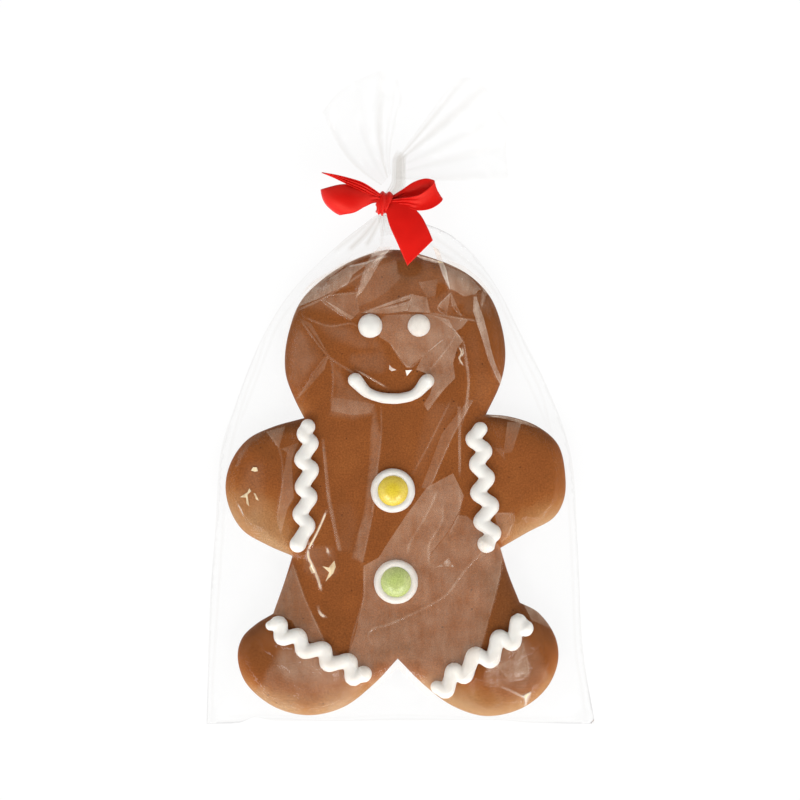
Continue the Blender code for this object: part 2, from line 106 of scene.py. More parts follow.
RING_RADIUS, RING_HALF_WIDTH, RING_HALF_HEIGHT = 8.2, 2.0, 2.1
LENTIL_RADIUS, LENTIL_HALF_HEIGHT, LENTIL_RISE = 7.1, 3.5, 1.4
LENTIL_COLORS = {"yellow": ((0.76, 0.59, 0.040), (0.66, 0.46, 0.026)),
                 "green": ((0.475, 0.605, 0.15), (0.34, 0.45, 0.100))}
ICING_VOXEL = 0.32

# Bag seen from above: side folds from the bottom up to the neck, and the wavy bottom edge
LEFT_FOLD = ((-89.8, -149.8), (-88.2, -92.0), (-85.9, -60.0), (-83.1, -23.0), (-77.4, -4.6),
             (-65.9, 25.3), (-55.5, 43.7), (-46.3, 55.2), (-27.9, 72.5), (-11.8, 85.0))
RIGHT_FOLD = ((89.8, -149.8), (84.3, -115.0), (82.0, -69.0), (78.3, -23.0), (66.4, 9.2),
              (54.9, 32.2), (46.8, 48.3), (34.2, 66.7), (20.4, 77.6), (-2.4, 85.0))
BOTTOM_EDGE = ((89.8, -149.8), (60.0, -149.4), (46.0, -148.2), (0.0, -148.3), (-60.0, -148.2),
               (-67.8, -146.8), (-74.0, -149.2), (-89.8, -149.8))
FOLD_HEIGHT = 0.6
BACK_HEIGHT = 0.15
NECK_X, NECK_Z, NECK_RADIUS = -7.0, 7.2, 4.4
SHOULDERS_Y, NECK_Y = 52.0, 85.0
FILM_GAP = 0.25
FILM_GLOSS = 0.02
FILM_LAYERS_SEEN_THROUGH = 48
FILM_CLEARANCE = 0.17       # least gap between the film and what lies under it
FILM_TRIANGLE, LINE_STEP = 2.3, 1.2
RIM_WIDTH, RIM_GREY, RIM_GREY_WIDTH = 3.0, 0.03, 0.8
CRUMPLE, BACK_CURL, BACK_GLOSS = 0.25, 7.0, 0.3
# Colour of the painted reflection on the film by how strong it is, from a faint painted sheen to the
# brightest painted glint
PAINTED_REFLECTION_COLORS = ((0.15, (0.96, 0.77, 0.595)), (0.46, (0.95, 0.84, 0.75)), (0.55, (0.91, 0.76, 0.49)),
        (0.75, (0.93, 0.79, 0.52)), (0.97, (1.0, 0.97, 0.90)))

# Floor, in metres: its width and how far it lies under the bag. Then its colour and glow
FLOOR_SIZE, FLOOR_GAP = 24.0, 0.0003
FLOOR_WHITE, FLOOR_GLOW = 0.10, 0.895

# Facets of the creased film with a painted reflection of the lights on them: how strong it is at the
# first corner and at the corner farthest from it (a negative value takes painted reflection away), over
# how many millimetres the edge fades, then the corners
FACETS = (
    # head, upper left
    (1.18, 1.05, 0, ((-47, 43), (-38, 46.5), (-30, 50.5), (-24.5, 53), (-22, 57.5), (-16, 62),
     (-14, 63.8), (-24, 61.6), (-36, 54), (-43, 48.5))),
    (0.8, 0.8, 2, ((-40, 47.5), (-34, 50), (-31, 54), (-35, 54.5), (-40, 51))),
    (1.15, 1.0, 0, ((-49, 39), (-45.5, 47), (-38, 55.5), (-27, 62.6), (-14, 68), (-3, 69.8), (-4, 68),
     (-16, 65.2), (-26, 61.4), (-36, 54), (-43, 48.5), (-47, 43))),
    (0.35, 0.40, 0, ((-36, 46.5), (-20, 49.5), (-19, 40.5), (-23, 36.5))),
    (0.9, 0.5, 0, ((-36, 46.5), (-21.5, 38), (-22.5, 36.8), (-30, 41.5))),
    (0.20, 0.22, 0, ((-20, 50), (-16, 58), (-8, 62.5), (-2, 64), (0, 56), (-6, 50), (-12, 46),
     (-19, 43))),
    (1.1, 0.7, 0, ((-4, 70.5), (-10, 70.5), (-15, 64.5), (-17.8, 57), (-20.8, 46.5), (-17.4, 50),
     (-12.5, 58), (-9.5, 63.5))),
    (0.9, 0.6, 0, ((-5, 69), (-10.5, 66.5), (-13.5, 61), (-12.6, 60), (-9.5, 64.5))),
    (-0.9, -0.9, 1, ((-26, 62), (-18, 63.2), (-13.6, 64.6), (-12.6, 70), (-22, 67))),
    (-0.4, -0.3, 1, ((-35, 47.5), (-27, 51.5), (-21, 53.5), (-20, 50), (-27, 48.5))),
    # head, middle and upper right
    (0.6, 1.0, 0, ((-18, 40), (5, 48.5), (4, 46.4), (-16, 40))),
    (0.5, 0.85, 0, ((-17, 40), (4.4, 45.6), (3.2, 41), (-6, 39.6))),
    (0.95, 0.85, 0, ((5, 48.5), (12, 47), (13.5, 40), (3.5, 40.5))),
    (0.45, 0.3, 0, ((8, 54), (17, 55.5), (16, 48), (12, 47))),
    (0.9, 0.3, 0, ((23, 49.5), (17, 43.5), (20, 41), (21, 38.5))),
    (0.6, 0.4, 0, ((23, 49.5), (24, 44), (28, 38.5), (26, 43))),
    (0.25, 0.7, 0, ((13, 40), (31, 37), (28, 33), (25, 31.5), (21, 34.5))),
    (1.15, 0.85, 0, ((19, 62.5), (24, 60.5), (31, 57.5), (37, 51), (34, 48.5), (29, 47.5), (25, 50),
     (22.5, 51))),
    (0.9, 0.8, 0, ((21, 64.6), (29, 61.8), (36, 56.4), (42, 49), (38.5, 49.5), (36, 53.5), (31, 58),
     (24, 61), (20.6, 62.2))),
    (2.1, 1.7, 0, ((14.8, 70.5), (17.2, 69.5), (20.9, 60), (22.7, 50.3), (19.2, 57.5))),
    (-0.5, -0.4, 1, ((15.5, 46), (22, 49.5), (22, 52), (19, 55), (16, 53.5))),
    (-0.2, -0.2, 1, ((22.5, 43), (29, 45.5), (30.5, 38.5), (24, 39.5))),
    (1.8, 1.0, 0, ((6, 66.9), (12, 65.4), (17, 63.9), (20, 63), (16, 62.9), (10, 64.6))),
    (0.7, 0.4, 0, ((38, 51), (40, 49), (37.5, 43), (36.5, 44), (37, 49))),
    (1.2, 1.3, 0, ((33.5, 47.5), (33.2, 41), (35.3, 34), (38, 26), (40.4, 18), (43.6, 11), (46, 6.5),
     (46.4, 10), (43.5, 16.5), (41.3, 24), (39.8, 31), (38, 38), (36.2, 43), (34.8, 47.5))),
    (0.22, 0.20, 5, ((-52, 42), (-42, 58), (-20, 72), (-4, 75), (20, 70), (41, 56), (49, 38), (10, 36),
     (-20, 36))),
    (-0.7, -0.7, 2, ((-2.5, 65), (10, 65), (11, 58), (4, 55.5), (-2, 57.5))),
    # head, face
    (0.50, 0.95, 0, ((-7, 39), (13, 39.5), (22, 37), (24, 33), (26, 31), (20, 28), (10, 20), (4, 15),
     (2.5, 15), (0, 19), (-5, 26), (-10, 29), (-10, 36))),
    (1.0, 0.7, 0, ((26, 31), (28.5, 27), (26, 24), (24, 17), (25, 10), (20, 5), (16, 0), (12.5, -5),
     (10.5, -2), (13.5, 3), (15, 8), (11, 12.5), (7, 14), (10, 20), (18, 27))),
    (0.35, 0.15, 0, ((20, 5), (12.5, -5), (11.5, -3.5), (18, 5))),
    (6.0, 7.0, 0, ((2.2, 13.6), (5.2, 13.8), (2.8, 11))),
    (3.0, 2.8, 0, ((-5.2, 16.2), (-4.1, 14.8), (-2, 13.8), (-4.2, 13.2), (-5.4, 14.2))),
    (0.42, 0.30, 6, ((-48, 38), (-33, 20), (-48, 1), (-53, 9), (-53.5, 20), (-51, 31))),
    (0.45, 0.20, 0, ((-33, 20.5), (-46, 3.5), (-48.5, 0.5), (-46.5, 1), (-35, 14))),
    (0.20, 0.45, 0, ((-47, 38), (-42, 33), (-33, 20.5), (-35.5, 25), (-41, 35))),
    (0.20, 0.30, 4, ((-44, 38), (-30, 36), (-21, 35), (-9, 28), (-6, 22), (-20, 22), (-33, 27))),
    (0.22, 0.22, 3, ((-24, 22), (-8, 24), (-3, 17), (-8, 11), (-18, 12), (-26, 17))),
    (0.20, 0.35, 3, ((-33, 20), (-28, 16), (-24, 8), (-15, 1), (-11, -2), (-10, -7), (-22, -10),
     (-34, -8), (-31, 5))),
    (0.35, 0.25, 0, ((-32, -5), (-31, 1), (-22, 0), (-12, -2), (-14, -6), (-22, -7))),
    (0.5, 0.4, 0, ((29, 27), (30.8, 18), (31.8, 8), (30.8, -4), (27.5, -13), (29.6, -4), (30.6, 8),
     (29.7, 18))),
    (0.08, 0.08, 5, ((28, 28), (34, 40), (39, 22), (44, 8), (40, -4), (30, -6), (32, 10))),
    # torso
    (0.35, 0.30, 0, ((-36, -18), (-35, -18), (-32, -45), (-27, -69), (-29, -69), (-34, -45))),
    (0.06, 0.10, 4, ((-32, -48), (-23, -44), (-18, -52), (-20, -72), (-30, -70))),
    (0.30, 0.50, 1, ((-12, 0), (-8.5, -17), (-10, -30), (-12, -50), (-17, -75), (-23, -73), (-17, -50),
     (-15, -30), (-14, -12))),
    (0.45, 0.35, 0, ((31, 0), (33.5, 0), (24, -16), (13, -41), (9.5, -40), (19, -15))),
    (0.45, 0.30, 0, ((26, -3), (27.5, -3), (27.7, -33), (26.4, -33))),
    (0.12, 0.08, 3, ((12, 0), (30, 0), (20, -16), (10, -38), (4, -34), (8, -14))),
    (0.75, 0.60, 0, ((24, -33.5), (29, -44), (27, -50), (22, -60), (14, -70), (12, -77), (-17, -76),
     (-10, -72), (-5, -64), (3, -52), (12, -40))),
    (3.2, 2.6, 1, ((15, -77), (19, -74.8), (22, -71.8), (23.5, -75), (27, -76.8), (20, -76.4))),
    (0.58, 0.50, 0, ((12, -77), (14, -70.4), (22, -60.4), (26, -53), (30, -53), (43, -64), (47, -69.5),
     (45.5, -80), (43, -91), (40, -101), (37, -112), (35, -122), (22, -134), (12, -136), (-1.4, -123),
     (-12, -133), (-24, -118), (-20, -104), (-17, -90), (-17, -76))),
    (4.0, 3.0, 0, ((-41, -75.5), (-39.4, -79), (-40.8, -79.6), (-42, -77))),
    (4.4, 3.8, 0, ((-35.8, -76.2), (-33, -76.8), (-30.4, -73.6), (-29.8, -76.5), (-31, -79.5),
     (-34.5, -83.2), (-32.8, -79))),
    (0.25, 0.20, 3, ((-44, -66), (-30, -66), (-27, -80), (-38, -86), (-46, -78))),
    (-0.3, -0.3, 4, ((-13, -118), (10, -118), (16, -131), (-1.4, -123), (-16, -131))),
    # arms
    (0.55, 0.35, 0, ((-62, -14.5), (-53, -12), (-56, -22))),
    (0.35, 0.50, 0, ((-55, -22.5), (-47, -19.5), (-50, -28), (-49, -45), (-52, -50), (-55, -62),
     (-57, -55), (-54, -35), (-52, -24))),
    (4.2, 3.8, 0, ((-73.8, -44.6), (-70.4, -42.4), (-69.6, -40.6), (-68.6, -41.8), (-70.4, -43.6),
     (-69.6, -48.8), (-70.8, -47.6), (-71, -44.8))),
    (4.0, 3.8, 0, ((-68.8, -32.4), (-67.8, -30.8), (-66, -31), (-65.6, -32.6), (-67, -32.9))),
    (3.9, 3.7, 0, ((-67.6, -42.6), (-66.6, -43), (-65.2, -46.2), (-66.4, -45.6))),
    (0.6, 0.3, 1, ((-79, -33), (-76, -26), (-70, -17.4), (-62, -13), (-62, -16), (-69, -21),
     (-75, -31))),
    (0.22, 0.18, 5, ((-78, -45), (-72, -28), (-62, -26), (-60, -50), (-68, -58))),
    (0.5, 0.3, 0, ((49, -10), (55.5, -10.5), (51, -24), (47, -24.5))),
    (0.4, 0.5, 0, ((43, -52), (51, -52), (51.5, -55), (50, -62), (46, -66))),
    (1.3, 0.9, 0, ((38, -6.9), (48, -7.3), (58, -10.2), (64, -13.2), (57, -11.2), (48, -8.7))),
    (0.3, 0.2, 0, ((43, -22), (47, -22), (48, -28))),
    # feet
    (0.45, 0.40, 0, ((-49.5, -75), (-53, -83), (-59, -98), (-50, -101), (-46, -108), (-38, -113),
     (-35, -111), (-38, -104), (-44, -91))),
    (0.35, 0.25, 4, ((-56, -111), (-32, -112), (-22, -121), (-25, -131), (-48, -133), (-59, -124))),
    (0.40, 0.45, 3, ((-56, -112), (-24, -120), (-13, -129), (-26, -145), (-58, -145), (-68, -134))),
    (0.5, 0.5, 0, ((52, -118), (56, -111), (58, -126), (50, -129), (44, -122))),
    (0.35, 0.30, 2, ((38, -116), (54, -110), (61, -122), (58, -134), (38, -132))),
    (0.30, 0.30, 3, ((46, -112), (57, -107), (66, -117), (70, -128), (60, -140), (44, -140),
     (36, -128))),
    (1.0, 0.5, 0, ((56, -93), (63, -97), (69, -105), (60, -101))),
    (2.6, 1.8, 1, ((55, -136), (58, -134.5), (60.5, -134), (59.5, -138), (57.5, -142), (57, -137.5))),
)
# A facet with a hard edge and less painted reflection than a painted glint stands up by the lift, eased
# in from its edge
FACET_LIFT, FACET_EDGE, GLINT = 0.22, 0.9, 1.2

# Creases that stand up from the film: height, half width, greyness, painted reflection along the crease
# (a painted glint where it is high), then the line
CREASES = (
    # head
    (0.7, 1.3, 0, 0.3, ((-7, 69), (-14, 62), (-16, 58), (-20, 48))),
    (0.5, 0.9, 0, 0.3, ((18, 64), (20, 58), (22, 50.5))),
    (0.5, 1.2, 0, 0.3, ((34, 48), (35, 42), (36, 36), (38, 28), (41, 18), (44, 10), (46, 8))),
    (0.3, 0.7, 0, 0.5, ((38, 50), (37, 42))),
    (0.2, 0.7, 0, 0.5, ((-47, 38), (-33, 20), (-21, 12))),
    (0.2, 0.7, 0, 0.4, ((-48, 0), (-33, 20), (-31, 10), (-32, -5))),
    (0.3, 0.6, 0, 1.6, ((-20, 13.5), (-12, 9), (-7, 6))),
    (0.2, 0.8, 0, 0.5, ((28, 27), (31, 10), (29, -5), (26, -10))),
    (0.2, 0.8, 0, 0.7, ((-48, 41), (-36, 46.5), (-30, 50), (-15, 60))),
    (0.3, 0.7, 0, 0.7, ((-20, 49.5), (-36, 46.5), (-23, 36.5))),
    (0.3, 0.7, 0, 1.7, ((-24.5, 61.6), (-18, 62.6), (-12, 64.4), (-6, 66.2))),
    (0.3, 0.8, 0, 2.0, ((5, 67.2), (11, 65.6), (17, 63.8), (20, 63))),
    (0.3, 0.9, 0, 1.3, ((-46, 48), (-41, 53.5), (-33, 58.5), (-24, 63.6), (-14, 67.4), (-6, 69.2))),
    (0.2, 0.6, 0, 0.7, ((-18, 40), (5, 48.5))),
    (0.2, 0.6, 0, 0.5, ((-17, 40), (4, 44.5))),
    (0.2, 0.6, 0, 0.6, ((5, 48.5), (3, 40.5))),
    (0.2, 0.6, 0, 0.6, ((13, 40), (31, 37), (36, 36))),
    (0.2, 0.6, 0, 0.6, ((24, 32), (28.5, 27), (30, 14))),
    (0.3, 0.5, 0, 4.6, ((26.6, 24.5), (27.9, 22), (26.9, 19), (28.6, 16))),
    (0.3, 0.5, 0, 4.4, ((28.2, 24), (28.6, 21.5), (27.6, 20))),
    (0.2, 0.5, 0, 0.8, ((23, 49.5), (17, 42), (21, 38.5))),
    (0.2, 0.5, 0, 0.8, ((23, 49.5), (24, 43), (28, 38.5))),
    (0.2, 0.6, 0, 0.6, ((10, 20), (4, 15), (-5, 26))),
    (0.2, 0.6, 0, 0.5, ((12, 12.5), (20, 22), (26, 31))),
    (0.2, 0.6, 0, 0.5, ((-44, 38), (-33, 34), (-22, 35), (-19, 33))),
    # torso
    (0.2, 0.7, 0, 0.5, ((27, -5), (27, -35))),
    (0.2, 0.6, 0, 0.5, ((33, 0), (24, -16), (13, -41))),
    (0.2, 0.6, 0, 0.4, ((23, 0), (14, -18), (6, -33))),
    (0.2, 0.6, 0, 0.4, ((-9, -3), (-9, -17), (-11, -34), (-13, -52), (-18, -76))),
    (0.2, 0.6, 0, 0.4, ((-36, -18), (-33, -45), (-28, -69))),
    (0.2, 0.8, 0, 0.5, ((17, -41), (12, -52), (4, -66), (3, -71))),
    (0.2, 0.8, 0, 0.5, ((19, -47), (19, -55), (13, -66), (13, -76))),
    (0.2, 0.8, 0, 0.5, ((27, -42), (27, -50), (22, -62))),
    (0.2, 0.8, 0, 0.5, ((38, -69), (33, -74), (27, -81), (22, -88), (15, -93), (5, -98), (-5, -102.5),
     (-13, -105), (-15, -108), (-13, -112))),
    (0.2, 0.7, 0, 0.4, ((-17, -76), (-17, -90), (-22, -108), (-24, -119))),
    (0.4, 0.7, 0, 4.9, ((-34.3, -51.5), (-38, -60), (-42.5, -68.5))),
    (0.4, 0.9, 0, 4.5, ((-42.5, -68.5), (-42.3, -72), (-40, -77), (-38, -82), (-36.5, -87))),
    (0.3, 0.8, 0, 4.4, ((-34, -67.8), (-33, -70.5))),
    (0.3, 0.9, 0, 4.2, ((-37.6, -96), (-36.4, -98.4), (-34.6, -99.2))),
    # arms
    (0.3, 0.6, 0, 3.4, ((-75, -47.6), (-73.6, -50), (-72.3, -53))),
    (0.2, 0.7, 0, 0.25, ((-62, -14.5), (-56, -22), (-54, -35), (-57, -55))),
    (0.3, 1.6, 0, 0.5, ((-53.5, 12), (-54, 22), (-52, 33), (-47.5, 43))),
    (0.2, 0.7, 0, 0.5, ((38, -7.5), (48, -7.8), (58, -10.2), (61, -11.2))),
    (0.2, 0.6, 0, 0.5, ((43, -52), (51.5, -52.5), (51.5, -56), (48, -64))),
    # feet
    (0.3, 0.8, 0, 1.6, ((46, -131.5), (52, -134), (57, -137))),
    (0.3, 0.7, 0, 2.4, ((60, -134), (57.5, -136), (57.4, -141))),
    (0.2, 0.7, 0, 0.4, ((-49.5, -75), (-44, -91), (-38, -104), (-34, -113))),
    (0.2, 0.7, 0, 0.4, ((47, -69), (45.5, -80), (43, -91), (40, -101), (37, -113))),
    (0.2, 0.6, 0, 0.7, ((56, -111), (58, -126), (50, -129))),
    # shoulders, gathered towards the neck
    (0.6, 1.5, 0.16, 0, ((-12, 85), (-24, 76), (-37, 66), (-45, 59))),
    (0.7, 1.8, 0.15, 0, ((-11, 85), (-20, 77), (-31, 68.5))),
    (0.9, 1.8, 0.30, 0, ((-10, 85), (-16, 77), (-24, 69))),
    (0.8, 1.5, 0.27, 0, ((-9, 85), (-12, 78), (-16, 71))),
    (0.8, 1.2, 0.12, 0, ((-8, 85), (-8.5, 78), (-9, 71))),
    (0.8, 1.2, 0.10, 0, ((-6, 85), (-3, 78), (0, 71))),
    (0.8, 1.3, 0.10, 0, ((-5, 85), (2, 78), (8, 71))),
    (0.8, 1.4, 0.12, 0, ((-4, 85), (8, 77), (18, 68), (25, 64))),
    (0.6, 1.5, 0.07, 0, ((-3.5, 85), (12, 77), (28, 66), (40, 55), (47, 44))),
    # folds that run along the sides of the bag
    (0.3, 1.2, 0.045, 0, ((-12, 85), (-30, 71), (-46, 57), (-54, 46), (-62, 31), (-66, 18), (-72, 2),
     (-78, -20), (-81, -40))),
    (0.3, 1.2, 0.04, 0, ((-47, 48), (-56, 36), (-62, 22), (-68, 6), (-75, -12))),
    (0.3, 1.2, 0.045, 0, ((-81, -40), (-83, -70), (-85, -100), (-87, -130), (-87.5, -149))),
    (0.3, 1.2, 0.045, 0, ((43, 52), (50, 36), (58, 18), (65, 3), (70, -17), (75, -28), (77, -40))),
    (0.3, 1.2, 0.04, 0, ((44, 40), (52, 22), (60, 6), (69, -16))),
    (0.3, 1.2, 0.045, 0, ((77, -40), (79, -70), (80, -95), (81, -117), (84, -135), (86, -149))),
    (0.3, 1.0, 0.03, 0, ((-86, -147), (-60, -145.5), (-30, -147), (0, -145.5), (40, -147), (84, -147))),
)

# Neck of the bag above the shoulders: x, y, z, radius. Then the two lobes of its flared mouth:
# rim, root, bow, and their folds as (share along the rim, greyness)
NECK_LINE = ((-5.5, 76.0, 6.8, 4.0), (-6.9, 86.0, 7.2, 3.9), (-6.2, 91.0, 7.6, 3.9),
             (-3.1, 95.0, 8.6, 3.8), (-1.2, 99.0, 9.2, 3.5), (-0.9, 106.0, 9.4, 3.4),
             (-0.6, 111.0, 9.6, 3.2), (0.6, 114.0, 9.8, 2.8))
LOBES = {
    "left": (((-36, 133, 7), (-29, 141, 13), (-18.7, 146.8, 20), (-3.8, 149.9, 26), (0.8, 137, 20)),
             ((-9, 99, 5.5), (-4.5, 104, 10.5)), (-2.6, -3, -2),
             ((0.02, 0.07), (0.42, 0.03), (0.64, 0.11), (0.82, 0.03), (0.98, 0.05))),
    "right": (((49.6, 102, 5), (48.4, 117, 12), (49.2, 125.2, 17), (43.6, 133.8, 22),
               (38.8, 141.4, 27), (29.5, 146.5, 31), (20.8, 141, 28)),
              ((-2.6, 102, 5.6), (-0.5, 113, 11)), (0, -0.4, -1.6),
              ((0.02, 0.04), (0.24, 0.04), (0.46, 0.03), (0.70, 0.11), (0.86, 0.12), (0.98, 0.05))),
}
LOBE_THICKNESS, PLEAT_DEPTH = 0.9, 0.9
NECK_GLOSS, FLARE_GLOSS = 0.5, 0.4
NECK_TUBES = ((1.0, 9, 0.0), (0.72, 7, 1.1), (0.42, 5, 2.3))     # size, flutes, phase

# Ribbon: a strip runs through (x, y, z) with a half-width vector at each place
RIBBON_THICKNESS, RIBBON_WIDTH = 0.4, 14.0
BAND_Y, BAND_LENGTH, BAND_GAP = 90.2, 7.6, 0.2
KNOT_CENTER, KNOT_SIZE = (-8.0, 90.2, 15.4), (4.0, 5.1, 3.2)
CUPPING, PLAIN_CUPPING = {"left_loop": -0.30, "right_loop": 0.12}, 0.05
STRIP_STEP, GATHER, GATHER_DEPTH = 0.5, 0.45, 1.8
STRIPS = {
    "left_loop": (
        (-7, 92, 14, 0.3, -1.6, 0.4), (-13, 93.2, 12.6, 0.7, -2.6, 0.4),
        (-18.5, 93.2, 12.2, 1.6, -4.6, 0.2), (-25, 92.3, 13, 3.2, -5.6, 0),
        (-30.4, 91, 14.8, 4.3, -5.7, 0), (-32.2, 90.5, 17.4, 4.4, -5.8, 0),
        (-30, 90.9, 19.8, 4.2, -6.0, 0), (-24, 92.1, 20.8, 2.9, -6.4, 0.4),
        (-17.5, 93.2, 19.8, 1.3, -4.7, 0.6), (-12.5, 93.3, 17.8, 0.5, -2.5, 0.4),
        (-7, 92, 16, 0.3, -1.6, 0.4)),
    "right_loop": (
        (-6, 90.8, 14.6, 0, 1.2, 1), (0, 93.2, 15, -0.3, 2.5, 1.2),
        (6, 95.8, 15.4, -0.4, 3.9, 1.6), (11.5, 97.4, 15.8, -0.5, 4, 1.6),
        (15.4, 97, 16.4, -1.3, 4, 1.2), (17.2, 96.2, 17.4, -1.9, 4.1, 0.9),
        (16.4, 94.6, 18.4, -1.9, 4.2, 0.7), (13, 91.9, 18.8, -1, 4.3, 0.9),
        (8, 90.2, 18.7, 0, 3.5, 1.1), (2, 90.6, 17.8, 0, 2, 1.3), (-6, 90.6, 15.8, 0, 1.2, 1)),
    "upper_tail": (
        (-7, 92, 16, 0.2, 0.8, 0.8), (-13, 95.1, 19.4, 0.4, 1.6, 0.7),
        (-18, 97.7, 21.6, 0.5, 1.8, 0.6), (-24, 100.1, 21.8, 0.4, 1.4, 0.5),
        (-30, 102.2, 20.8, 0.2, 0.75, 0.3), (-36.1, 103.9, 19.4, 0, 0.08, 0.05)),
    "lower_tail": (
        (-5, 91, 16.2, 2.4, 0.6, 0.2), (-1.6, 88, 17, 5.2, 1.6, -0.2),
        (1.8, 82.5, 17.6, 7, 2.5, -0.4), (5.3, 75.4, 17.6, 6.9, 3.6, -0.4),
        (8.85, 67.3, 17, 5.85, 5.8, 0)),
}


def smooth_path(points, step):
    """Points about step apart along a centripetal Catmull-Rom curve through points."""
    p = [np.array(q, float) for q in points]
    p = [2 * p[0] - p[1]] + p + [2 * p[-1] - p[-2]]
    path = []
    for quad in zip(p, p[1:], p[2:], p[3:]):
        knots = [0.0]
        for u, v in zip(quad, quad[1:]):
            knots.append(knots[-1] + math.sqrt(np.linalg.norm(v - u)) + 1e-9)
        pieces = max(1, round(np.linalg.norm(quad[2] - quad[1]) / step))
        for i in range(pieces):
            path.append(curve_point(quad, knots, knots[1] + (knots[2] - knots[1]) * i / pieces))
    return np.array(path + [p[-2]])


def curve_point(p, k, t):
    """The point at knot value t between p[1] and p[2] of a Catmull-Rom curve."""
    line = [((k[i + 1] - t) * p[i] + (t - k[i]) * p[i + 1]) / (k[i + 1] - k[i]) for i in range(3)]
    arc = [((k[i + 2] - t) * line[i] + (t - k[i]) * line[i + 1]) / (k[i + 2] - k[i])
           for i in range(2)]
    return ((k[2] - t) * arc[0] + (t - k[1]) * arc[1]) / (k[2] - k[1])


def nearest_on(points, line, closed):
    """For each (x, y) point: its distance to the line, the nearest place, and its share along."""
    a = line if closed else line[:-1]
    b = np.roll(line, -1, 0) if closed else line[1:]
    run = b - a
    length2 = (run ** 2).sum(1) + 1e-12
    distance = np.empty(len(points))
    place = np.empty((len(points), 2))
    share = np.empty(len(points))
    for i in range(0, len(points), 1500):
        p = points[i:i + 1500, None, :]
        t = np.clip(((p - a) * run).sum(-1) / length2, 0.0, 1.0)
        on = a + t[..., None] * run
        d = np.sqrt(((p - on) ** 2).sum(-1))
        best = d.argmin(1)
        rows = np.arange(len(best))
        distance[i:i + 1500] = d[rows, best]
        place[i:i + 1500] = on[rows, best]
        share[i:i + 1500] = (best + t[rows, best]) / len(a)
    return distance, place, share


def inside(points, loop):
    """Which (x, y) points lie inside the closed loop."""
    a, b = loop, np.roll(loop, -1, 0)
    result = np.empty(len(points), bool)
    for i in range(0, len(points), 4000):
        x, y = points[i:i + 4000, :1], points[i:i + 4000, 1:]
        crossed = (a[:, 1] > y) != (b[:, 1] > y)
        at = a[:, 0] + (y - a[:, 1]) * (b[:, 0] - a[:, 0]) / (b[:, 1] - a[:, 1] + 1e-12)
        result[i:i + 4000] = (crossed & (x < at)).sum(1) % 2 == 1
    return result


def left_of(run):
    """Unit vectors to the left of each (x, y) direction."""
    return np.stack((-run[:, 1], run[:, 0]), 1) / np.linalg.norm(run, axis=1)[:, None]


def ease(x):
    """A smooth step from 0 to 1 as x goes from 0 to 1."""
    t = np.clip(x, 0.0, 1.0)
    return t * t * (3.0 - 2.0 * t)


def hex_grid(low, high, spacing):
    """Points of a triangular grid that covers a box."""
    rows = np.arange(low[1], high[1], spacing * math.sqrt(0.75))
    return np.array([(x + (i % 2) * spacing / 2, y) for i, y in enumerate(rows)
                     for x in np.arange(low[0], high[0], spacing)])


def grid_faces(rows, columns, around):
    """Quads of a grid of points in row order. With around, each row closes on itself."""
    across = columns if around else columns - 1
    return [(r * columns + c, r * columns + (c + 1) % columns,
             (r + 1) * columns + (c + 1) % columns, (r + 1) * columns + c)
            for r in range(rows - 1) for c in range(across)]


def plan_mesh(points, edges, loop, tolerance):
    """Triangles inside a loop, through (x, y) points and along edges, with the points used."""
    made = delaunay_2d_cdt([Vector(p) for p in points], edges, [], 0, tolerance)
    flat = np.array([tuple(v) for v in made[0]])
    faces = np.array(made[2])
    return flat, faces[inside(flat[faces].mean(1), loop)]


def close_body(flat, faces, top, bottom, on_border):
    """Points and faces of a closed body: a top and an underside that meet on the border."""
    under = np.where(on_border, np.arange(len(flat)), 0)
    under[~on_border] = len(flat) + np.arange((~on_border).sum())
    points = np.concatenate((np.column_stack((flat, top)),
                             np.column_stack((flat, bottom))[~on_border]))
    return points, np.concatenate((faces, under[faces][:, ::-1])).tolist()


def add_object(name, mesh):
    obj = bpy.data.objects.new(name, mesh)
    bpy.context.scene.collection.objects.link(obj)
    return obj


def float_attribute(mesh, name, domain, values):
    mesh.attributes.new(name, "FLOAT", domain).data.foreach_set("value", values)


def mesh_object(name, points, faces, material, **attributes):
    """A smooth-shaded object from points in millimetres, with named values at its points."""
    mesh = bpy.data.meshes.new(name)
    mesh.from_pydata([tuple(p) for p in np.asarray(points, float) * MM], [], faces)
    mesh.shade_smooth()
    for key, values in attributes.items():
        float_attribute(mesh, key, "POINT", values)
    mesh.materials.append(material)
    return add_object(name, mesh)


def mesh_from(bm, name):
    """The mesh that a bmesh holds, in metres. Frees the bmesh."""
    bmesh.ops.scale(bm, vec=Vector((MM, MM, MM)), verts=bm.verts)
    mesh = bpy.data.meshes.new(name)
    bm.to_mesh(mesh)
    bm.free()
    return mesh


def read_vectors(collection, name):
    """The vectors stored under a name in a mesh collection, one a row."""
    values = np.empty(3 * len(collection), np.float32)
    collection.foreach_get(name, values)
    return values.reshape(-1, 3)


def bake_modifiers(obj):
    """Replaces obj's mesh by what its modifiers make of it."""
    bpy.context.view_layer.update()
    evaluated = obj.evaluated_get(bpy.context.evaluated_depsgraph_get())
    mesh = bpy.data.meshes.new_from_object(evaluated)
    obj.modifiers.clear()
    obj.data = mesh
    return obj


# ---------------------------------------------------------------- materials

def rgba(color):
    """A colour with full opacity, from (red, green, blue) or from one grey level."""
    return (*color, 1.0) if isinstance(color, tuple) else (color, color, color, 1.0)


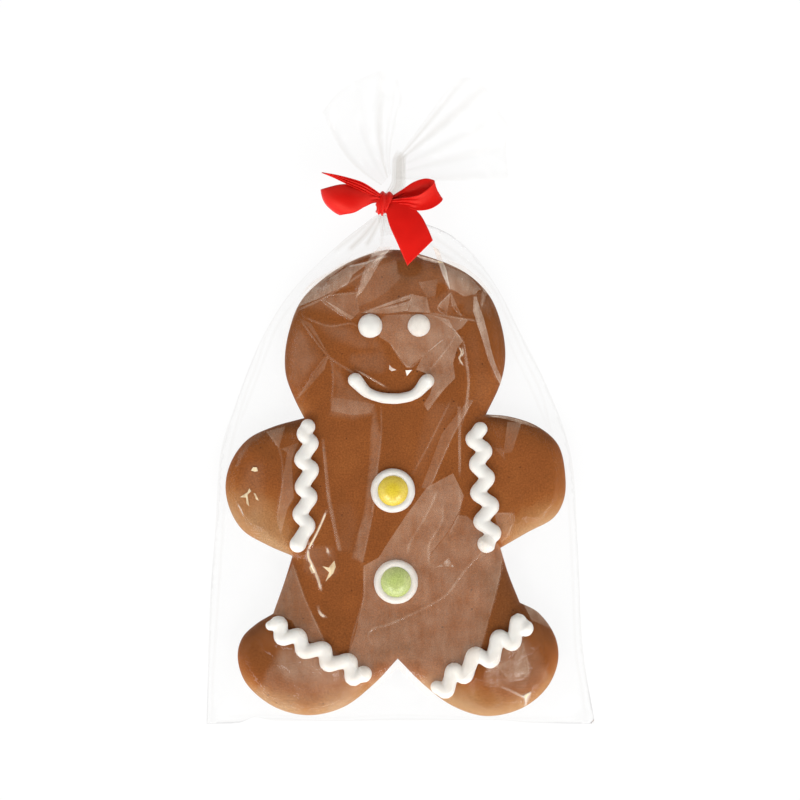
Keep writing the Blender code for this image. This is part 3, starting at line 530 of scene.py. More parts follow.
class Look:
    """Nodes of a material or world in the making. Most methods return the socket to use."""

    def __init__(self, name, kind="materials", output="ShaderNodeOutputMaterial"):
        self.owner = getattr(bpy.data, kind).new(name)
        self.owner.use_nodes = True
        self.output = output
        self.tree = self.owner.node_tree
        self.tree.nodes.clear()

    def feed(self, target, value):
        """Links a socket to an input, or sets the input to a number, vector or colour."""
        if isinstance(value, bpy.types.NodeSocket):
            self.tree.links.new(value, target)
        else:
            target.default_value = rgba(value) if target.type == "RGBA" else value

    def node(self, kind, **settings):
        """A node. Each setting is a property, or an input with underscores for its spaces."""
        made = self.tree.nodes.new(kind)
        for key, value in settings.items():
            if hasattr(made, key):
                setattr(made, key, value)
            else:
                self.feed(made.inputs[key.replace("_", " ")], value)
        return made

    def position(self):
        return self.node("ShaderNodeNewGeometry").outputs["Position"]

    def attribute(self, name):
        return self.node("ShaderNodeAttribute", attribute_name=name).outputs["Fac"]

    def noise(self, place, scale, detail=3.0, roughness=0.55):
        return self.node("ShaderNodeTexNoise", Vector=place, Scale=scale, Detail=detail,
                         Roughness=roughness).outputs["Fac"]

    def cells(self, place, scale):
        return self.node("ShaderNodeTexVoronoi", Vector=place, Scale=scale, Randomness=1.0)

    def compute(self, operation, first, second):
        made = self.node("ShaderNodeMath", operation=operation)
        self.feed(made.inputs[0], first)
        self.feed(made.inputs[1], second)
        return made.outputs[0]

    def ramp(self, value, *stops):
        """A colour ramp on a value. Each stop is a place and a colour or grey level."""
        made = self.node("ShaderNodeValToRGB", Fac=value)
        elements = made.color_ramp.elements
        elements[0].position, elements[0].color = stops[0][0], rgba(stops[0][1])
        elements[1].position, elements[1].color = stops[-1][0], rgba(stops[-1][1])
        for place, color in stops[1:-1]:
            elements.new(place).color = rgba(color)
        return made.outputs["Color"]

    def mix(self, blend, factor, first, second):
        """A colour mix. Each of factor, first and second is a value or a socket."""
        made = self.node("ShaderNodeMix", data_type="RGBA", blend_type=blend, clamp_factor=True)
        for index, value in ((0, factor), (6, first), (7, second)):
            self.feed(made.inputs[index], value)
        return made.outputs[2]

    def bump(self, height, strength, distance):
        return self.node("ShaderNodeBump", Height=height, Strength=strength,
                         Distance=distance).outputs["Normal"]

    def principled(self, **settings):
        return self.node("ShaderNodeBsdfPrincipled", **settings).outputs[0]

    def mix_shaders(self, factor, first, second):
        made = self.node("ShaderNodeMixShader", Fac=factor)
        self.feed(made.inputs[1], first)
        self.feed(made.inputs[2], second)
        return made.outputs[0]

    def finish(self, shader):
        """Links the shader to the output and returns the finished material or world."""
        self.node(self.output, Surface=shader)
        return self.owner


def gingerbread_material():
    """Baked dough: browner or paler with its toast value, which holds painted light and painted shade
    on its edges as well as browning; mottled, with grain and specks.
    """
    look = Look("gingerbread")
    place = look.position()
    mottle = look.compute("SUBTRACT", look.noise(place, 55.0, 4.0), 0.5)
    mottle = look.compute("MULTIPLY", mottle, 0.5)
    color = look.ramp(look.compute("ADD", look.attribute("toast"), mottle), *CRUST_AND_PAINTED_LIGHT)
    grain = look.noise(place, 1300.0, 3.0, 0.7)
    color = look.mix("MULTIPLY", 1.0, color, look.ramp(grain, (0.34, 0.74), (0.66, 1.17)))
    speck = look.cells(place, 230.0)
    spots = look.ramp(speck.outputs["Distance"], (0.05, 1.0), (0.13, 0.0))
    chosen = look.ramp(speck.outputs["Color"], (0.66, 0.0), (0.80, 0.85))
    spots = look.mix("MULTIPLY", 1.0, spots, chosen)
    color = look.mix("MIX", spots, color, (0.070, 0.022, 0.008))
    bumps = look.compute("SUBTRACT", look.compute("MULTIPLY", grain, 0.5), spots)
    return look.finish(look.principled(
        Base_Color=color, Roughness=0.62, Specular_IOR_Level=0.08,
        Normal=look.bump(bumps, 0.30, 0.0004)))


def icing_material():
    """Dried royal icing: off-white, matt to satin, with a little light inside."""
    look = Look("royal_icing")
    place = look.position()
    color = look.ramp(look.noise(place, 130.0), (0.3, (0.735, 0.71, 0.665)),
                      (0.7, (0.80, 0.78, 0.735)))
    return look.finish(look.principled(
        Base_Color=color, Roughness=0.48, Specular_IOR_Level=0.35, Subsurface_Weight=0.25,
        Subsurface_Radius=(1.0, 0.85, 0.7), Subsurface_Scale=0.0012,
        Normal=look.bump(look.noise(place, 900.0), 0.12, 0.0003)))


def lentil_material(name, color, speck_color):
    """A sugar shell: one colour with fine specks, satin with a thin gloss."""
    look = Look(name)
    place = look.position()
    stipple = look.compute("MULTIPLY", look.noise(place, 1500.0, 1.0), 0.7)
    cloud = look.noise(place, 260.0)
    mixed = look.compute("ADD", stipple, look.compute("MULTIPLY", cloud, 0.3))
    mask = look.ramp(mixed, (0.42, 0.0), (0.60, 1.0))
    return look.finish(look.principled(
        Base_Color=look.mix("MIX", mask, color, speck_color), Roughness=0.34, Coat_Weight=0.6,
        Coat_Roughness=0.12, Normal=look.bump(cloud, 0.10, 0.0003)))


def film_material():
    """Clear film: glossy, greyer where it lies folded on itself, with a painted reflection of the
    lights and painted glints on its creased facets as a lit white layer.
    """
    look = Look("clear_film")
    place, painted_reflection = look.position(), look.attribute("painted_reflection")
    tint = look.mix("MIX", look.attribute("fold"), (0.994, 0.994, 0.993), (0.62, 0.57, 0.50))
    clear = look.node("ShaderNodeBsdfTransparent", Color=tint).outputs[0]
    cells = look.cells(place, 105.0).outputs["Distance"]
    crumple = look.compute("ADD", cells, look.noise(place, 90.0))
    gloss = look.node("ShaderNodeBsdfAnisotropic", Roughness=0.06,
                      Normal=look.bump(crumple, 0.7, 0.0009)).outputs[0]
    facing = look.node("ShaderNodeLayerWeight", Blend=0.5).outputs["Facing"]
    grazing = look.compute("MULTIPLY", look.compute("POWER", facing, 5.0), 0.85)
    shine = look.compute("ADD", grazing, FILM_GLOSS)
    shine = look.compute("MULTIPLY", shine, look.attribute("gloss"))
    skin = look.mix_shaders(shine, clear, gloss)
    stretched = look.node("ShaderNodeMapping", Vector=place, Scale=(1.0, 0.2, 1.0),
                          Rotation=(0.0, 0.0, 0.22)).outputs[0]
    streaks = look.compute("MULTIPLY", look.noise(stretched, 420.0, 3.0, 0.6), 0.35)
    patches = look.compute("MULTIPLY", look.noise(place, 110.0, 4.0, 0.6), 0.65)
    cloud = look.ramp(look.compute("ADD", streaks, patches), (0.32, 0.075), (0.68, 0.275))
    # Painted reflection: a lit white layer mixed in by the painted reflection value stands in for the
    # lights mirrored in the creased facets, cream where it is a painted glint
    bright = look.ramp(look.compute("MULTIPLY", painted_reflection, 0.15), *PAINTED_REFLECTION_COLORS)
    painted_reflection_layer = look.node("ShaderNodeBsdfDiffuse", Color=bright).outputs[0]
    amount = look.compute("MINIMUM", look.compute("MULTIPLY", painted_reflection, cloud), 0.9)
    return look.finish(look.mix_shaders(amount, skin, painted_reflection_layer))


def satin_material():
    """Red polyester satin: fine weave across the strip and a soft reddish sheen."""
    look = Look("red_satin")
    strip = look.node("ShaderNodeUVMap", uv_map="strip").outputs["UV"]
    weave = look.node("ShaderNodeTexWave", Vector=strip, Scale=700.0, Distortion=1.2, Detail=1.0,
                      bands_direction="X").outputs["Fac"]
    base = look.ramp(look.noise(strip, 60.0, 2.0), (0.3, (0.56, 0.0055, 0.004)),
                     (0.7, (0.67, 0.009, 0.006)))
    flecks = look.ramp(look.noise(strip, 3200.0, 2.0), (0.35, 0.88), (0.65, 1.10))
    return look.finish(look.principled(
        Base_Color=look.mix("MULTIPLY", 1.0, base, flecks), Roughness=0.38, Anisotropic=0.5,
        Specular_IOR_Level=0.50, Specular_Tint=(1.0, 0.30, 0.22),
        Normal=look.bump(weave, 0.15, 0.0001)))


def floor_material():
    """A white light table, as for a product shot on white: it lights itself and casts little."""
    look = Look("pale_floor")
    return look.finish(look.principled(
        Base_Color=FLOOR_WHITE, Roughness=1.0, Specular_IOR_Level=0.0, Emission_Color=1.0,
        Emission_Strength=FLOOR_GLOW))


# ---------------------------------------------------------------- biscuit and icing

def relief(x, y):
    """The unevenness of the baked face at a place."""
    broad = noise.fractal(Vector((x / 24.0, y / 24.0, 3.1)), 1.0, 2.0, 3)
    fine = noise.fractal(Vector((x / 4.5, y / 4.5, 8.7)), 1.0, 2.0, 2)
    return 0.30 * broad + 0.09 * fine


def reach(points, loop, angle):
    """How far each (x, y) point is from the edge of the loop it is in, in one direction."""
    along = np.array((math.cos(angle), math.sin(angle)))
    across = np.array((-along[1], along[0]))
    u, v, a, far_a = points @ across, points @ along, loop @ across, loop @ along
    b, far_b = np.roll(a, -1), np.roll(far_a, -1)
    result = np.empty(len(points))
    for i in range(0, len(points), 4000):
        here = u[i:i + 4000, None]
        away = far_a + (here - a) * (far_b - far_a) / (b - a + 1e-12) - v[i:i + 4000, None]
        crossed = ((a > here) != (b > here)) & (away > 0.0)
        result[i:i + 4000] = np.where(crossed, away, 200.0).min(1)
    return result


def toast(points, outline):
    """Crust colour at each (x, y): darker below upper edges, paler towards lower edges; partly baking,
    partly painted shade below edges facing away from the lamps at the feet and painted light near edges
    facing them.
    """
    x, y = points.T
    foot = ease((FEET_Y - y) / 10.0)
    low, high = np.zeros((2, len(points)))
    # Paler near edges that face the lamps at the feet (partly painted light), darker below edges that
    # face away (partly painted shade)
    turns = (-0.8, -0.4, 0.0, 0.4, 0.8)
    for turn in turns:
        below = reach(points, outline, turn - math.pi / 2) / (16.0 - 4.0 * foot)
        above = reach(points, outline, turn + math.pi / 2) / (9.0 + 9.0 * foot)
        low += np.exp(-below ** (1.15 + 0.35 * foot)) / len(turns)
        high += np.exp(-above) / len(turns)
    low *= 1.0 - 0.85 * ease((y - HEAD_Y) / 10.0)
    value = (0.5 - 0.1 * foot - (0.45 + 0.15 * foot) * high) * (1.0 - low) + low
    # browner and paler places, with the painted shadow under the ribbon's tail tip among them
    for cx, cy, rx, ry, much in BROWNED_AND_SHADOWED:
        value -= much * np.exp(-((x - cx) / rx) ** 2 - ((y - cy) / ry) ** 2)
    return value


def biscuit_points(outline, inward):
    """Points of the biscuit in plan: its outline, rings that follow it inwards and a fill."""
    sets = [outline]
    for inset in INSETS:
        ring = outline + inward * inset
        distance, _, _ = nearest_on(ring, outline, True)
        sets.append(ring[(distance > 0.97 * inset) & inside(ring, outline)])
    grid = hex_grid(outline.min(0), outline.max(0), BISCUIT_TRIANGLE)
    grid = grid[inside(grid, outline)]
    sets.append(grid[nearest_on(grid, outline, True)[0] > FILL_INSET])
    return np.concatenate(sets)


def biscuit(material):
    """The biscuit as one closed body: a pillowy top and a flatter underside on one outline."""
    outline = np.array([p for run in OUTLINE_RUNS for p in smooth_path(run, OUTLINE_STEP)[:-1]])
    inward = -left_of(np.roll(outline, -1, 0) - np.roll(outline, 1, 0))
    count = len(outline)
    border = [(i, (i + 1) % count) for i in range(count)]
    flat, faces = plan_mesh(biscuit_points(outline, inward), border, outline, 1e-4)
    distance, _, share = nearest_on(flat, outline, True)
    on_border = distance < 1e-3
    up = 1.0 - np.clip(distance / TOP_ROUNDING, 0.0, 1.0)
    down = 1.0 - np.clip(distance / BOTTOM_ROUNDING, 0.0, 1.0)
    dome = (1.0 - up ** TOP_FULLNESS) ** (1 / TOP_FULLNESS)
    top = BISCUIT_EDGE + (BISCUIT_TOP - BISCUIT_EDGE) * dome
    uneven = np.array([relief(x, y) for x, y in flat])
    top += uneven * np.clip(distance / 4.0, 0.0, 1.0)
    bottom = BISCUIT_EDGE - (BISCUIT_EDGE - BISCUIT_BOTTOM) * np.sqrt(1.0 - down ** 2)
    share = share[on_border]
    index = np.round(share * count).astype(int) % count
    probe = flat.copy()
    probe[on_border] += inward[index] * 0.2
    value = np.clip(toast(probe, outline[::3]), 0.0, 1.0)
    points, faces = close_body(flat, faces, top, bottom, on_border)
    return mesh_object("gingerbread_man", points, faces, material,
                       toast=np.concatenate((value, value[~on_border])))


def add_rope(bm, path):
    """A rope with round ends along (x, y, radius) points that rests on the biscuit."""
    sides = 18
    rings = []
    for i, (x, y, r) in enumerate(path):
        ahead = path[min(i + 1, len(path) - 1)][:2] - path[max(i - 1, 0)][:2]
        ahead /= np.linalg.norm(ahead)
        steps = [(0.0, 1.0)]
        if i == 0:
            steps = [(-math.sin(b), math.cos(b)) for b in reversed(ROPE_END_ANGLES)]
        if i == len(path) - 1:
            steps = [(math.sin(b), math.cos(b)) for b in ROPE_END_ANGLES]
        for along, size in steps:
            ring = []
            for s in range(sides):
                a = 2 * math.pi * s / sides
                side = r * size * math.cos(a)
                height = BISCUIT_TOP + r * (ROPE_LIFT + ROPE_FLATNESS * size * math.sin(a))
                ring.append(bm.verts.new((x + ahead[0] * along * r - ahead[1] * side,
                                          y + ahead[1] * along * r + ahead[0] * side, height)))
            rings.append(ring)
    for low, high in zip(rings, rings[1:]):
        for s in range(sides):
            t = (s + 1) % sides
            bm.faces.new((low[s], low[t], high[t], high[s]))
    bm.faces.new(rings[0])
    bm.faces.new(rings[-1])


def add_ball(bm, center, half_sizes):
    made = bmesh.ops.create_icosphere(bm, subdivisions=4, radius=1.0)
    bmesh.ops.scale(bm, vec=Vector(half_sizes), verts=made["verts"])
    bmesh.ops.translate(bm, vec=Vector(center), verts=made["verts"])


def icing_piece(name, bm, material, unevenness=0.12):
    """Melts a bmesh of ropes and balls into one soft piece of icing."""
    bmesh.ops.recalc_face_normals(bm, faces=bm.faces)
    obj = add_object(name, mesh_from(bm, name))
    remesh = obj.modifiers.new("melt", "REMESH")
    remesh.mode = "VOXEL"
    remesh.voxel_size = ICING_VOXEL * MM
    soften = obj.modifiers.new("soften", "SMOOTH")
    soften.factor, soften.iterations = 0.5, 5
    bake_modifiers(obj)
    spots = read_vectors(obj.data.vertices, "co")
    normals = read_vectors(obj.data.vertex_normals, "vector")
    push = np.array([noise.noise(Vector(p / (3.2 * MM))) for p in spots])
    spots += normals * (push * unevenness * MM)[:, None]
    obj.data.vertices.foreach_set("co", spots.ravel())
    obj.data.shade_smooth()
    obj.data.materials.append(material)
    return obj


def zigzag(name, turns, material):
    points = []
    for here, there in zip(turns, turns[1:]):
        middle = (np.array(here) + np.array(there)) / 2
        points += [(*here, ROPE_WIDE), (*middle, ROPE_THIN)]
    points.append((*turns[-1], ROPE_ENDS[name][1]))
    points[0] = (*turns[0], ROPE_ENDS[name][0])
    bm = bmesh.new()
    add_rope(bm, smooth_path(points, ROPE_STEP))
    return icing_piece("icing_" + name, bm, material)


def smile(material):
    radii = (SMILE_WIDE, SMILE_THIN, SMILE_THIN, SMILE_THIN, SMILE_WIDE)
    bm = bmesh.new()
    add_rope(bm, smooth_path([(*p, r) for p, r in zip(SMILE, radii)], ROPE_STEP))
    return icing_piece("icing_smile", bm, material)


def eye(side, center, radius, material):
    bm = bmesh.new()
    add_ball(bm, (*center, BISCUIT_TOP), (radius, radius, EYE_HEIGHT))
    return icing_piece("icing_eye_" + side, bm, material, 0.2)


def icing_ring(color, center, material):
    bm = bmesh.new()
    section = bmesh.ops.create_circle(bm, cap_ends=False, segments=20, radius=1.0)
    for v in section["verts"]:
        v.co = Vector((RING_RADIUS + RING_HALF_WIDTH * v.co.x, 0.0, RING_HALF_HEIGHT * v.co.y))
    bmesh.ops.spin(bm, geom=bm.verts[:] + bm.edges[:], axis=(0, 0, 1), cent=(0, 0, 0),
                   angle=2 * math.pi, steps=72, use_merge=True)
    bmesh.ops.remove_doubles(bm, verts=bm.verts, dist=0.001)
    bmesh.ops.translate(bm, vec=Vector((*center, BISCUIT_TOP + RING_RISE)), verts=bm.verts)
    return icing_piece("icing_ring_" + color, bm, material)


def icing(material):
    pieces = [zigzag(name, turns, material) for name, turns in ZIGZAGS.items()]
    pieces.append(smile(material))
    pieces += [eye(side, *spot, material) for side, spot in EYES.items()]
    return pieces + [icing_ring(color, spot, material) for color, spot in BUTTONS.items()]


def lentil(name, center, material):
    """A sugar-coated chocolate lentil that sits in its ring of icing."""
    bm = bmesh.new()
    add_ball(bm, (0, 0, 0), (1, 1, 1))
    for v in bm.verts:
        level = math.copysign(abs(v.co.z) ** 1.15, v.co.z)
        dent = 1.0 + 0.012 * noise.noise(v.co * 2.0)
        v.co = Vector((v.co.x * LENTIL_RADIUS * dent, v.co.y * LENTIL_RADIUS * dent,
                       level * LENTIL_HALF_HEIGHT))
        v.co += Vector((*center, BISCUIT_TOP + LENTIL_RISE))
    mesh = mesh_from(bm, name)
    mesh.shade_smooth()
    mesh.materials.append(material)
    return add_object(name, mesh)


# ---------------------------------------------------------------- film

def fold_height(y):
    """How high the side folds of the bag lie at a place along it."""
    return FOLD_HEIGHT + (NECK_Z - FOLD_HEIGHT) * ease((y - SHOULDERS_Y) / (NECK_Y - SHOULDERS_Y))


def neck_half_height(x):
    return np.sqrt(np.clip(NECK_RADIUS ** 2 - (x - NECK_X) ** 2, 0.0, None))


class Contents:
    """Answers how high the bag's contents stand at a place."""

    ABOVE = 60.0

    def __init__(self, objects):
        points, faces = [], []
        for obj in objects:
            base = len(points)
            points += [v.co / MM for v in obj.data.vertices]
            faces += [[base + i for i in f.vertices] for f in obj.data.polygons]
        self.tree = BVHTree.FromPolygons(points, faces)

    def height(self, x, y):
        hit = self.tree.ray_cast(Vector((x, y, self.ABOVE)), Vector((0, 0, -1)))[0]
        return hit.z if hit else 0.0


class Drape:
    """The tight film over the contents, on a square grid."""

    STEP, SWEEPS, FIRST_HEIGHT = 2.0, 2500, 6.0
    X_RANGE, Y_RANGE = (-94.0, 94.1), (-154.0, 92.1)

    def __init__(self, contents, loop):
        self.x = np.arange(*self.X_RANGE, self.STEP)
        self.y = np.arange(*self.Y_RANGE, self.STEP)
        xs, ys = np.meshgrid(self.x, self.y)
        flat = np.column_stack((xs.ravel(), ys.ravel()))
        low = np.array([contents.height(*p) for p in flat]).reshape(xs.shape)
        low = np.where(low > 0, low + FILM_GAP, 0.0)
        held = ~inside(flat, loop).reshape(xs.shape)
        level = fold_height(ys)
        neck = ys > NECK_Y - 4.0
        level = np.where(neck, NECK_Z + neck_half_height(xs), level)
        held |= neck
        z = np.where(held, level, np.maximum(low, self.FIRST_HEIGHT))
        for _ in range(self.SWEEPS):
            middle = (z[1:-1, :-2] + z[1:-1, 2:] + z[:-2, 1:-1] + z[2:, 1:-1]) / 4.0
            z[1:-1, 1:-1] = np.where(held[1:-1, 1:-1], level[1:-1, 1:-1],
                                     np.maximum(middle, low[1:-1, 1:-1]))
        self.z = z

    def height(self, points):
        u = np.clip((points[:, 0] - self.x[0]) / self.STEP, 0, len(self.x) - 1.001)
        v = np.clip((points[:, 1] - self.y[0]) / self.STEP, 0, len(self.y) - 1.001)
        i, j = u.astype(int), v.astype(int)
        u, v, z = u - i, v - j, self.z
        return ((z[j, i] * (1 - u) + z[j, i + 1] * u) * (1 - v)
                + (z[j + 1, i] * (1 - u) + z[j + 1, i + 1] * u) * v)

    def slope(self, points):
        """How steep the film is at each (x, y) point."""
        rises = [self.height(points + side) - self.height(points - side)
                 for side in ((self.STEP, 0.0), (0.0, self.STEP))]
        return np.hypot(*rises) / (2 * self.STEP)


def side_loop(step):
    """The bag's outline in plan, counter-clockwise from the bottom left corner."""
    bottom = smooth_path(BOTTOM_EDGE[::-1], step)[:-1]
    right = smooth_path(RIGHT_FOLD, step)[:-1]
    neck = np.array([(NECK_X + 4.6, NECK_Y), (NECK_X, NECK_Y), (NECK_X - 4.8, NECK_Y)])
    left = smooth_path(LEFT_FOLD, step)[::-1]
    return np.concatenate((bottom, right, neck, left[1:-1]))


def facet_painted_reflection(flat, faces):
    """The painted reflection at each corner of each face, from the facets it lies in."""
    centers = flat[faces].mean(1)
    painted_reflection = np.zeros(faces.shape)
    for first, last, soft, corners in FACETS:
        ring = np.array(corners, float)
        member = inside(centers, ring)
        if not member.any():
            continue
        places = flat[faces[member]]
        run = ring - ring[0]
        axis = run[(run ** 2).sum(1).argmax()]
        share = np.clip((places - ring[0]) @ axis / (axis @ axis), 0.0, 1.0)
        value = first + (last - first) * share
        if soft:
            edge, _, _ = nearest_on(places.reshape(-1, 2), ring, True)
            value *= ease(edge / soft).reshape(value.shape)
        painted_reflection[member] += value
    return painted_reflection


def film_net(loop, lines):
    """Points and edges of the film in plan: its outline, creases, facets and a loose fill."""
    random.seed(11)
    points, edges = [], []

    def chain(line, closed):
        """Adds points, with an edge from each to the next."""
        start, count = sum(map(len, points)), len(line)
        edges.extend((start + i, start + (i + 1) % count)
                     for i in range(count if closed else count - 1))
        points.append(line)

    chain(loop, True)
    for (_, width, *_), line in zip(CREASES, lines):
        chain(line, False)
        side = left_of(np.gradient(line, axis=0))
        points.extend(line + side * offset * width for offset in (0.45, -0.45, 1.0, -1.0))
    for *_, corners in FACETS:
        sides = zip(corners, corners[1:] + corners[:1])
        chain(np.concatenate([np.linspace(a, b, max(2, round(math.dist(a, b) / 2.0)))[:-1]
                              for a, b in sides]), True)
    grid = hex_grid(loop.min(0), loop.max(0), FILM_TRIANGLE)
    grid += np.array([(random.uniform(-0.4, 0.4), random.uniform(-0.4, 0.4)) for _ in grid])
    grid = grid[inside(grid, loop)]
    points.append(grid[nearest_on(grid, loop, True)[0] > LINE_STEP])
    return np.concatenate(points), edges


def film_front(flat, distance, rim, lines, drape, contents):
    """The front film: its height, how grey its folds are and the painted shine along its creases."""
    top = drape.height(flat)
    over = rim + (top - rim) * np.clip(distance / RIM_WIDTH, 0.0, 1.0) ** 0.6
    top = np.where(distance < RIM_WIDTH, over, top)
    fold = RIM_GREY * np.exp(-distance / RIM_GREY_WIDTH)
    shine = np.zeros(len(flat))
    for reflection_strength, _, soft, corners in FACETS:
        ring = np.array(corners, float)
        within = inside(flat, ring)
        if within.any() and reflection_strength < GLINT and soft == 0:
            edge, _, _ = nearest_on(flat[within], ring, True)
            top[within] += FACET_LIFT * np.clip(edge / FACET_EDGE, 0.0, 1.0)
    for (height, width, grey, glint, _), line in zip(CREASES, lines):
        near = (flat > line.min(0) - 3).all(1) & (flat < line.max(0) + 3).all(1)
        away, _, share = nearest_on(flat[near], line, False)
        taper = ease(np.minimum(share, 1 - share) * 6 + 0.3)
        profile = np.clip(1.0 - away / width, 0.0, 1.0) * taper
        top[near] += height * profile
        fold[near] = np.maximum(fold[near], grey * profile)
        shine[near] = np.maximum(shine[near], glint * profile)
    crumple = np.array([noise.fractal(Vector((x / 14.0, y / 14.0, 5.0)), 1.0, 2.0, 2)
                        for x, y in flat])
    top += CRUMPLE * crumple * np.clip(distance / 4.0, 0.0, 1.0)
    need = np.array([contents.height(x, y) for x, y in flat])
    return np.maximum(top, need + FILM_CLEARANCE), fold, shine


def film_back(flat, distance, rim, top):
    """The back film's height: flat on the floor, rising to the folds and round the neck."""
    lift = ease((flat[:, 1] - SHOULDERS_Y) / (NECK_Y - SHOULDERS_Y))
    bottom = BACK_HEIGHT + (rim - BACK_HEIGHT) * np.exp(-distance / BACK_CURL)
    bottom = bottom * (1 - lift) + (NECK_Z - neck_half_height(flat[:, 0])) * lift
    return np.minimum(bottom, top - 0.1)


def film_bag(contents, material):
    """The bag below the neck: front and back film joined along the side folds."""
    loop = side_loop(2.2)
    lines = [smooth_path(line, LINE_STEP) for *_, line in CREASES]
    flat, faces = plan_mesh(*film_net(loop, lines), loop, 1e-3)
    distance, _, _ = nearest_on(flat, loop, True)
    on_border = distance < 2e-3
    rim = fold_height(flat[:, 1])
    drape = Drape(contents, loop)
    top, fold, shine = film_front(flat, distance, rim, lines, drape, contents)
    bottom = film_back(flat, distance, rim, top)
    top[on_border] = rim[on_border]
    at_neck = on_border & (np.abs(flat[:, 0] - NECK_X) < 1) & (flat[:, 1] > NECK_Y - 0.5)
    top[at_neck] = NECK_Z

    # Painted reflection and painted glints of the facets and creases, one value a corner
    painted_reflection = np.maximum(facet_painted_reflection(flat, faces) + shine[faces], 0.0)
    painted_reflection = np.concatenate((painted_reflection.ravel(), np.zeros(3 * len(faces))))
    gloss = 1.0 - 0.75 * ease((drape.slope(flat) - 0.12) / 0.3)
    gloss = np.concatenate((gloss, np.full((~on_border).sum(), BACK_GLOSS)))
    fold = np.concatenate((fold, 0.5 * fold[~on_border]))
    points, faces = close_body(flat, faces, top, bottom, on_border)
    obj = mesh_object("film_bag", points, faces, material, gloss=gloss, fold=fold)
    float_attribute(obj.data, "painted_reflection", "CORNER", painted_reflection)
    return obj


def film_neck(material):
    """The gathered neck: nested fluted tubes of film, one inside the other."""
    points, faces, greys = [], [], []
    line = smooth_path(NECK_LINE, 1.0)
    columns = 96
    for layer, (size, flutes, phase) in enumerate(NECK_TUBES):
        base = len(points)
        for i, (x, y, z, radius) in enumerate(line):
            ahead = Vector(line[min(i + 1, len(line) - 1)][:3]) - Vector(line[max(i - 1, 0)][:3])
            across = ahead.cross(Vector((0, 0, 1))).normalized()
            rise = across.cross(ahead).normalized()
            for c in range(columns):
                a = 2 * math.pi * c / columns
                flute = math.cos(flutes * a + phase + 0.05 * i)
                wander = noise.noise(Vector((math.cos(a), math.sin(a) + layer * 3.0, i / 9.0)))
                r = radius * size * (0.88 + 0.10 * flute + 0.10 * wander)
                place = Vector((x, y, z)) + across * (r * math.cos(a)) + rise * (r * math.sin(a))
                points.append(place)
                greys.append((0.085 - 0.035 * flute) * min(1.0, i / 14.0, (len(line) - 1 - i) / 3.0))
        faces += [[base + i for i in f] for f in grid_faces(len(line), columns, True)]
    return mesh_object("film_neck", points, faces, material, fold=greys,
                       gloss=[NECK_GLOSS] * len(points))


def film_lobe(name, rim, root, bow, folds, material):
    """One lobe of the flared mouth: film that fans out from the neck to a wavy rim."""
    edge = smooth_path(rim, 0.7)
    start = np.linspace(root[0], root[1], len(edge))
    rows = 46
    out = edge - start
    along = np.gradient(edge, axis=0)
    normal = np.cross(out, along)
    normal /= np.linalg.norm(normal, axis=1)[:, None]
    normal *= np.sign(normal[:, 2:3] + 1e-9)
    share = np.linspace(0, 1, len(edge))
    soft = 0.25 * np.sin(2 * math.pi * (0.5 * len(folds) * share + 0.2))
    points, greys = [], []
    for layer, side in enumerate((0.5, -0.5)):
        for r in range(rows):
            u = r / (rows - 1)
            spread = math.sin(math.pi * min(u * 1.15, 0.94)) ** 0.7
            place = start + out * u + np.array(bow) * (math.sin(math.pi * u) if u < 1 else 0.0)
            shift = soft * spread + side * LOBE_THICKNESS * (0.4 + u)
            tone = np.full(len(edge), 0.025 * (1 - u) ** 2 + 0.012 * (u > 0.975))
            for i, (at, darkness) in enumerate(folds):
                bump = np.exp(-((share - at - 0.01 * layer) / 0.042) ** 2)
                shift = shift + PLEAT_DEPTH * spread * (-1) ** i * bump
                tone = tone + darkness * bump * (0.35 + 0.65 * min(1.0, 2 - 2 * u))
            points.append(place + normal * shift[:, None])
            greys.append(tone)
    points, greys = np.concatenate(points), np.clip(np.concatenate(greys), 0, 1)
    sheet = grid_faces(rows, len(edge), False)
    faces = sheet + [[i + rows * len(edge) for i in f] for f in sheet]
    return mesh_object("film_flare_" + name, points, faces, material, fold=greys,
                       gloss=[FLARE_GLOSS] * len(points))


# ---------------------------------------------------------------- ribbon

def ribbon_object(name, points, uvs, rows, columns, around, material):
    """A grid of points made into a thin strip of satin with a strip UV map."""
    obj = mesh_object("ribbon_" + name, points, grid_faces(rows, columns, around), material)
    layer = obj.data.uv_layers.new(name="strip")
    for loop, corner in zip(layer.data, obj.data.loops):
        loop.uv = uvs[corner.vertex_index]
    thick = obj.modifiers.new("thickness", "SOLIDIFY")
    thick.thickness, thick.offset = RIBBON_THICKNESS * MM, 0.0
    return bake_modifiers(obj)


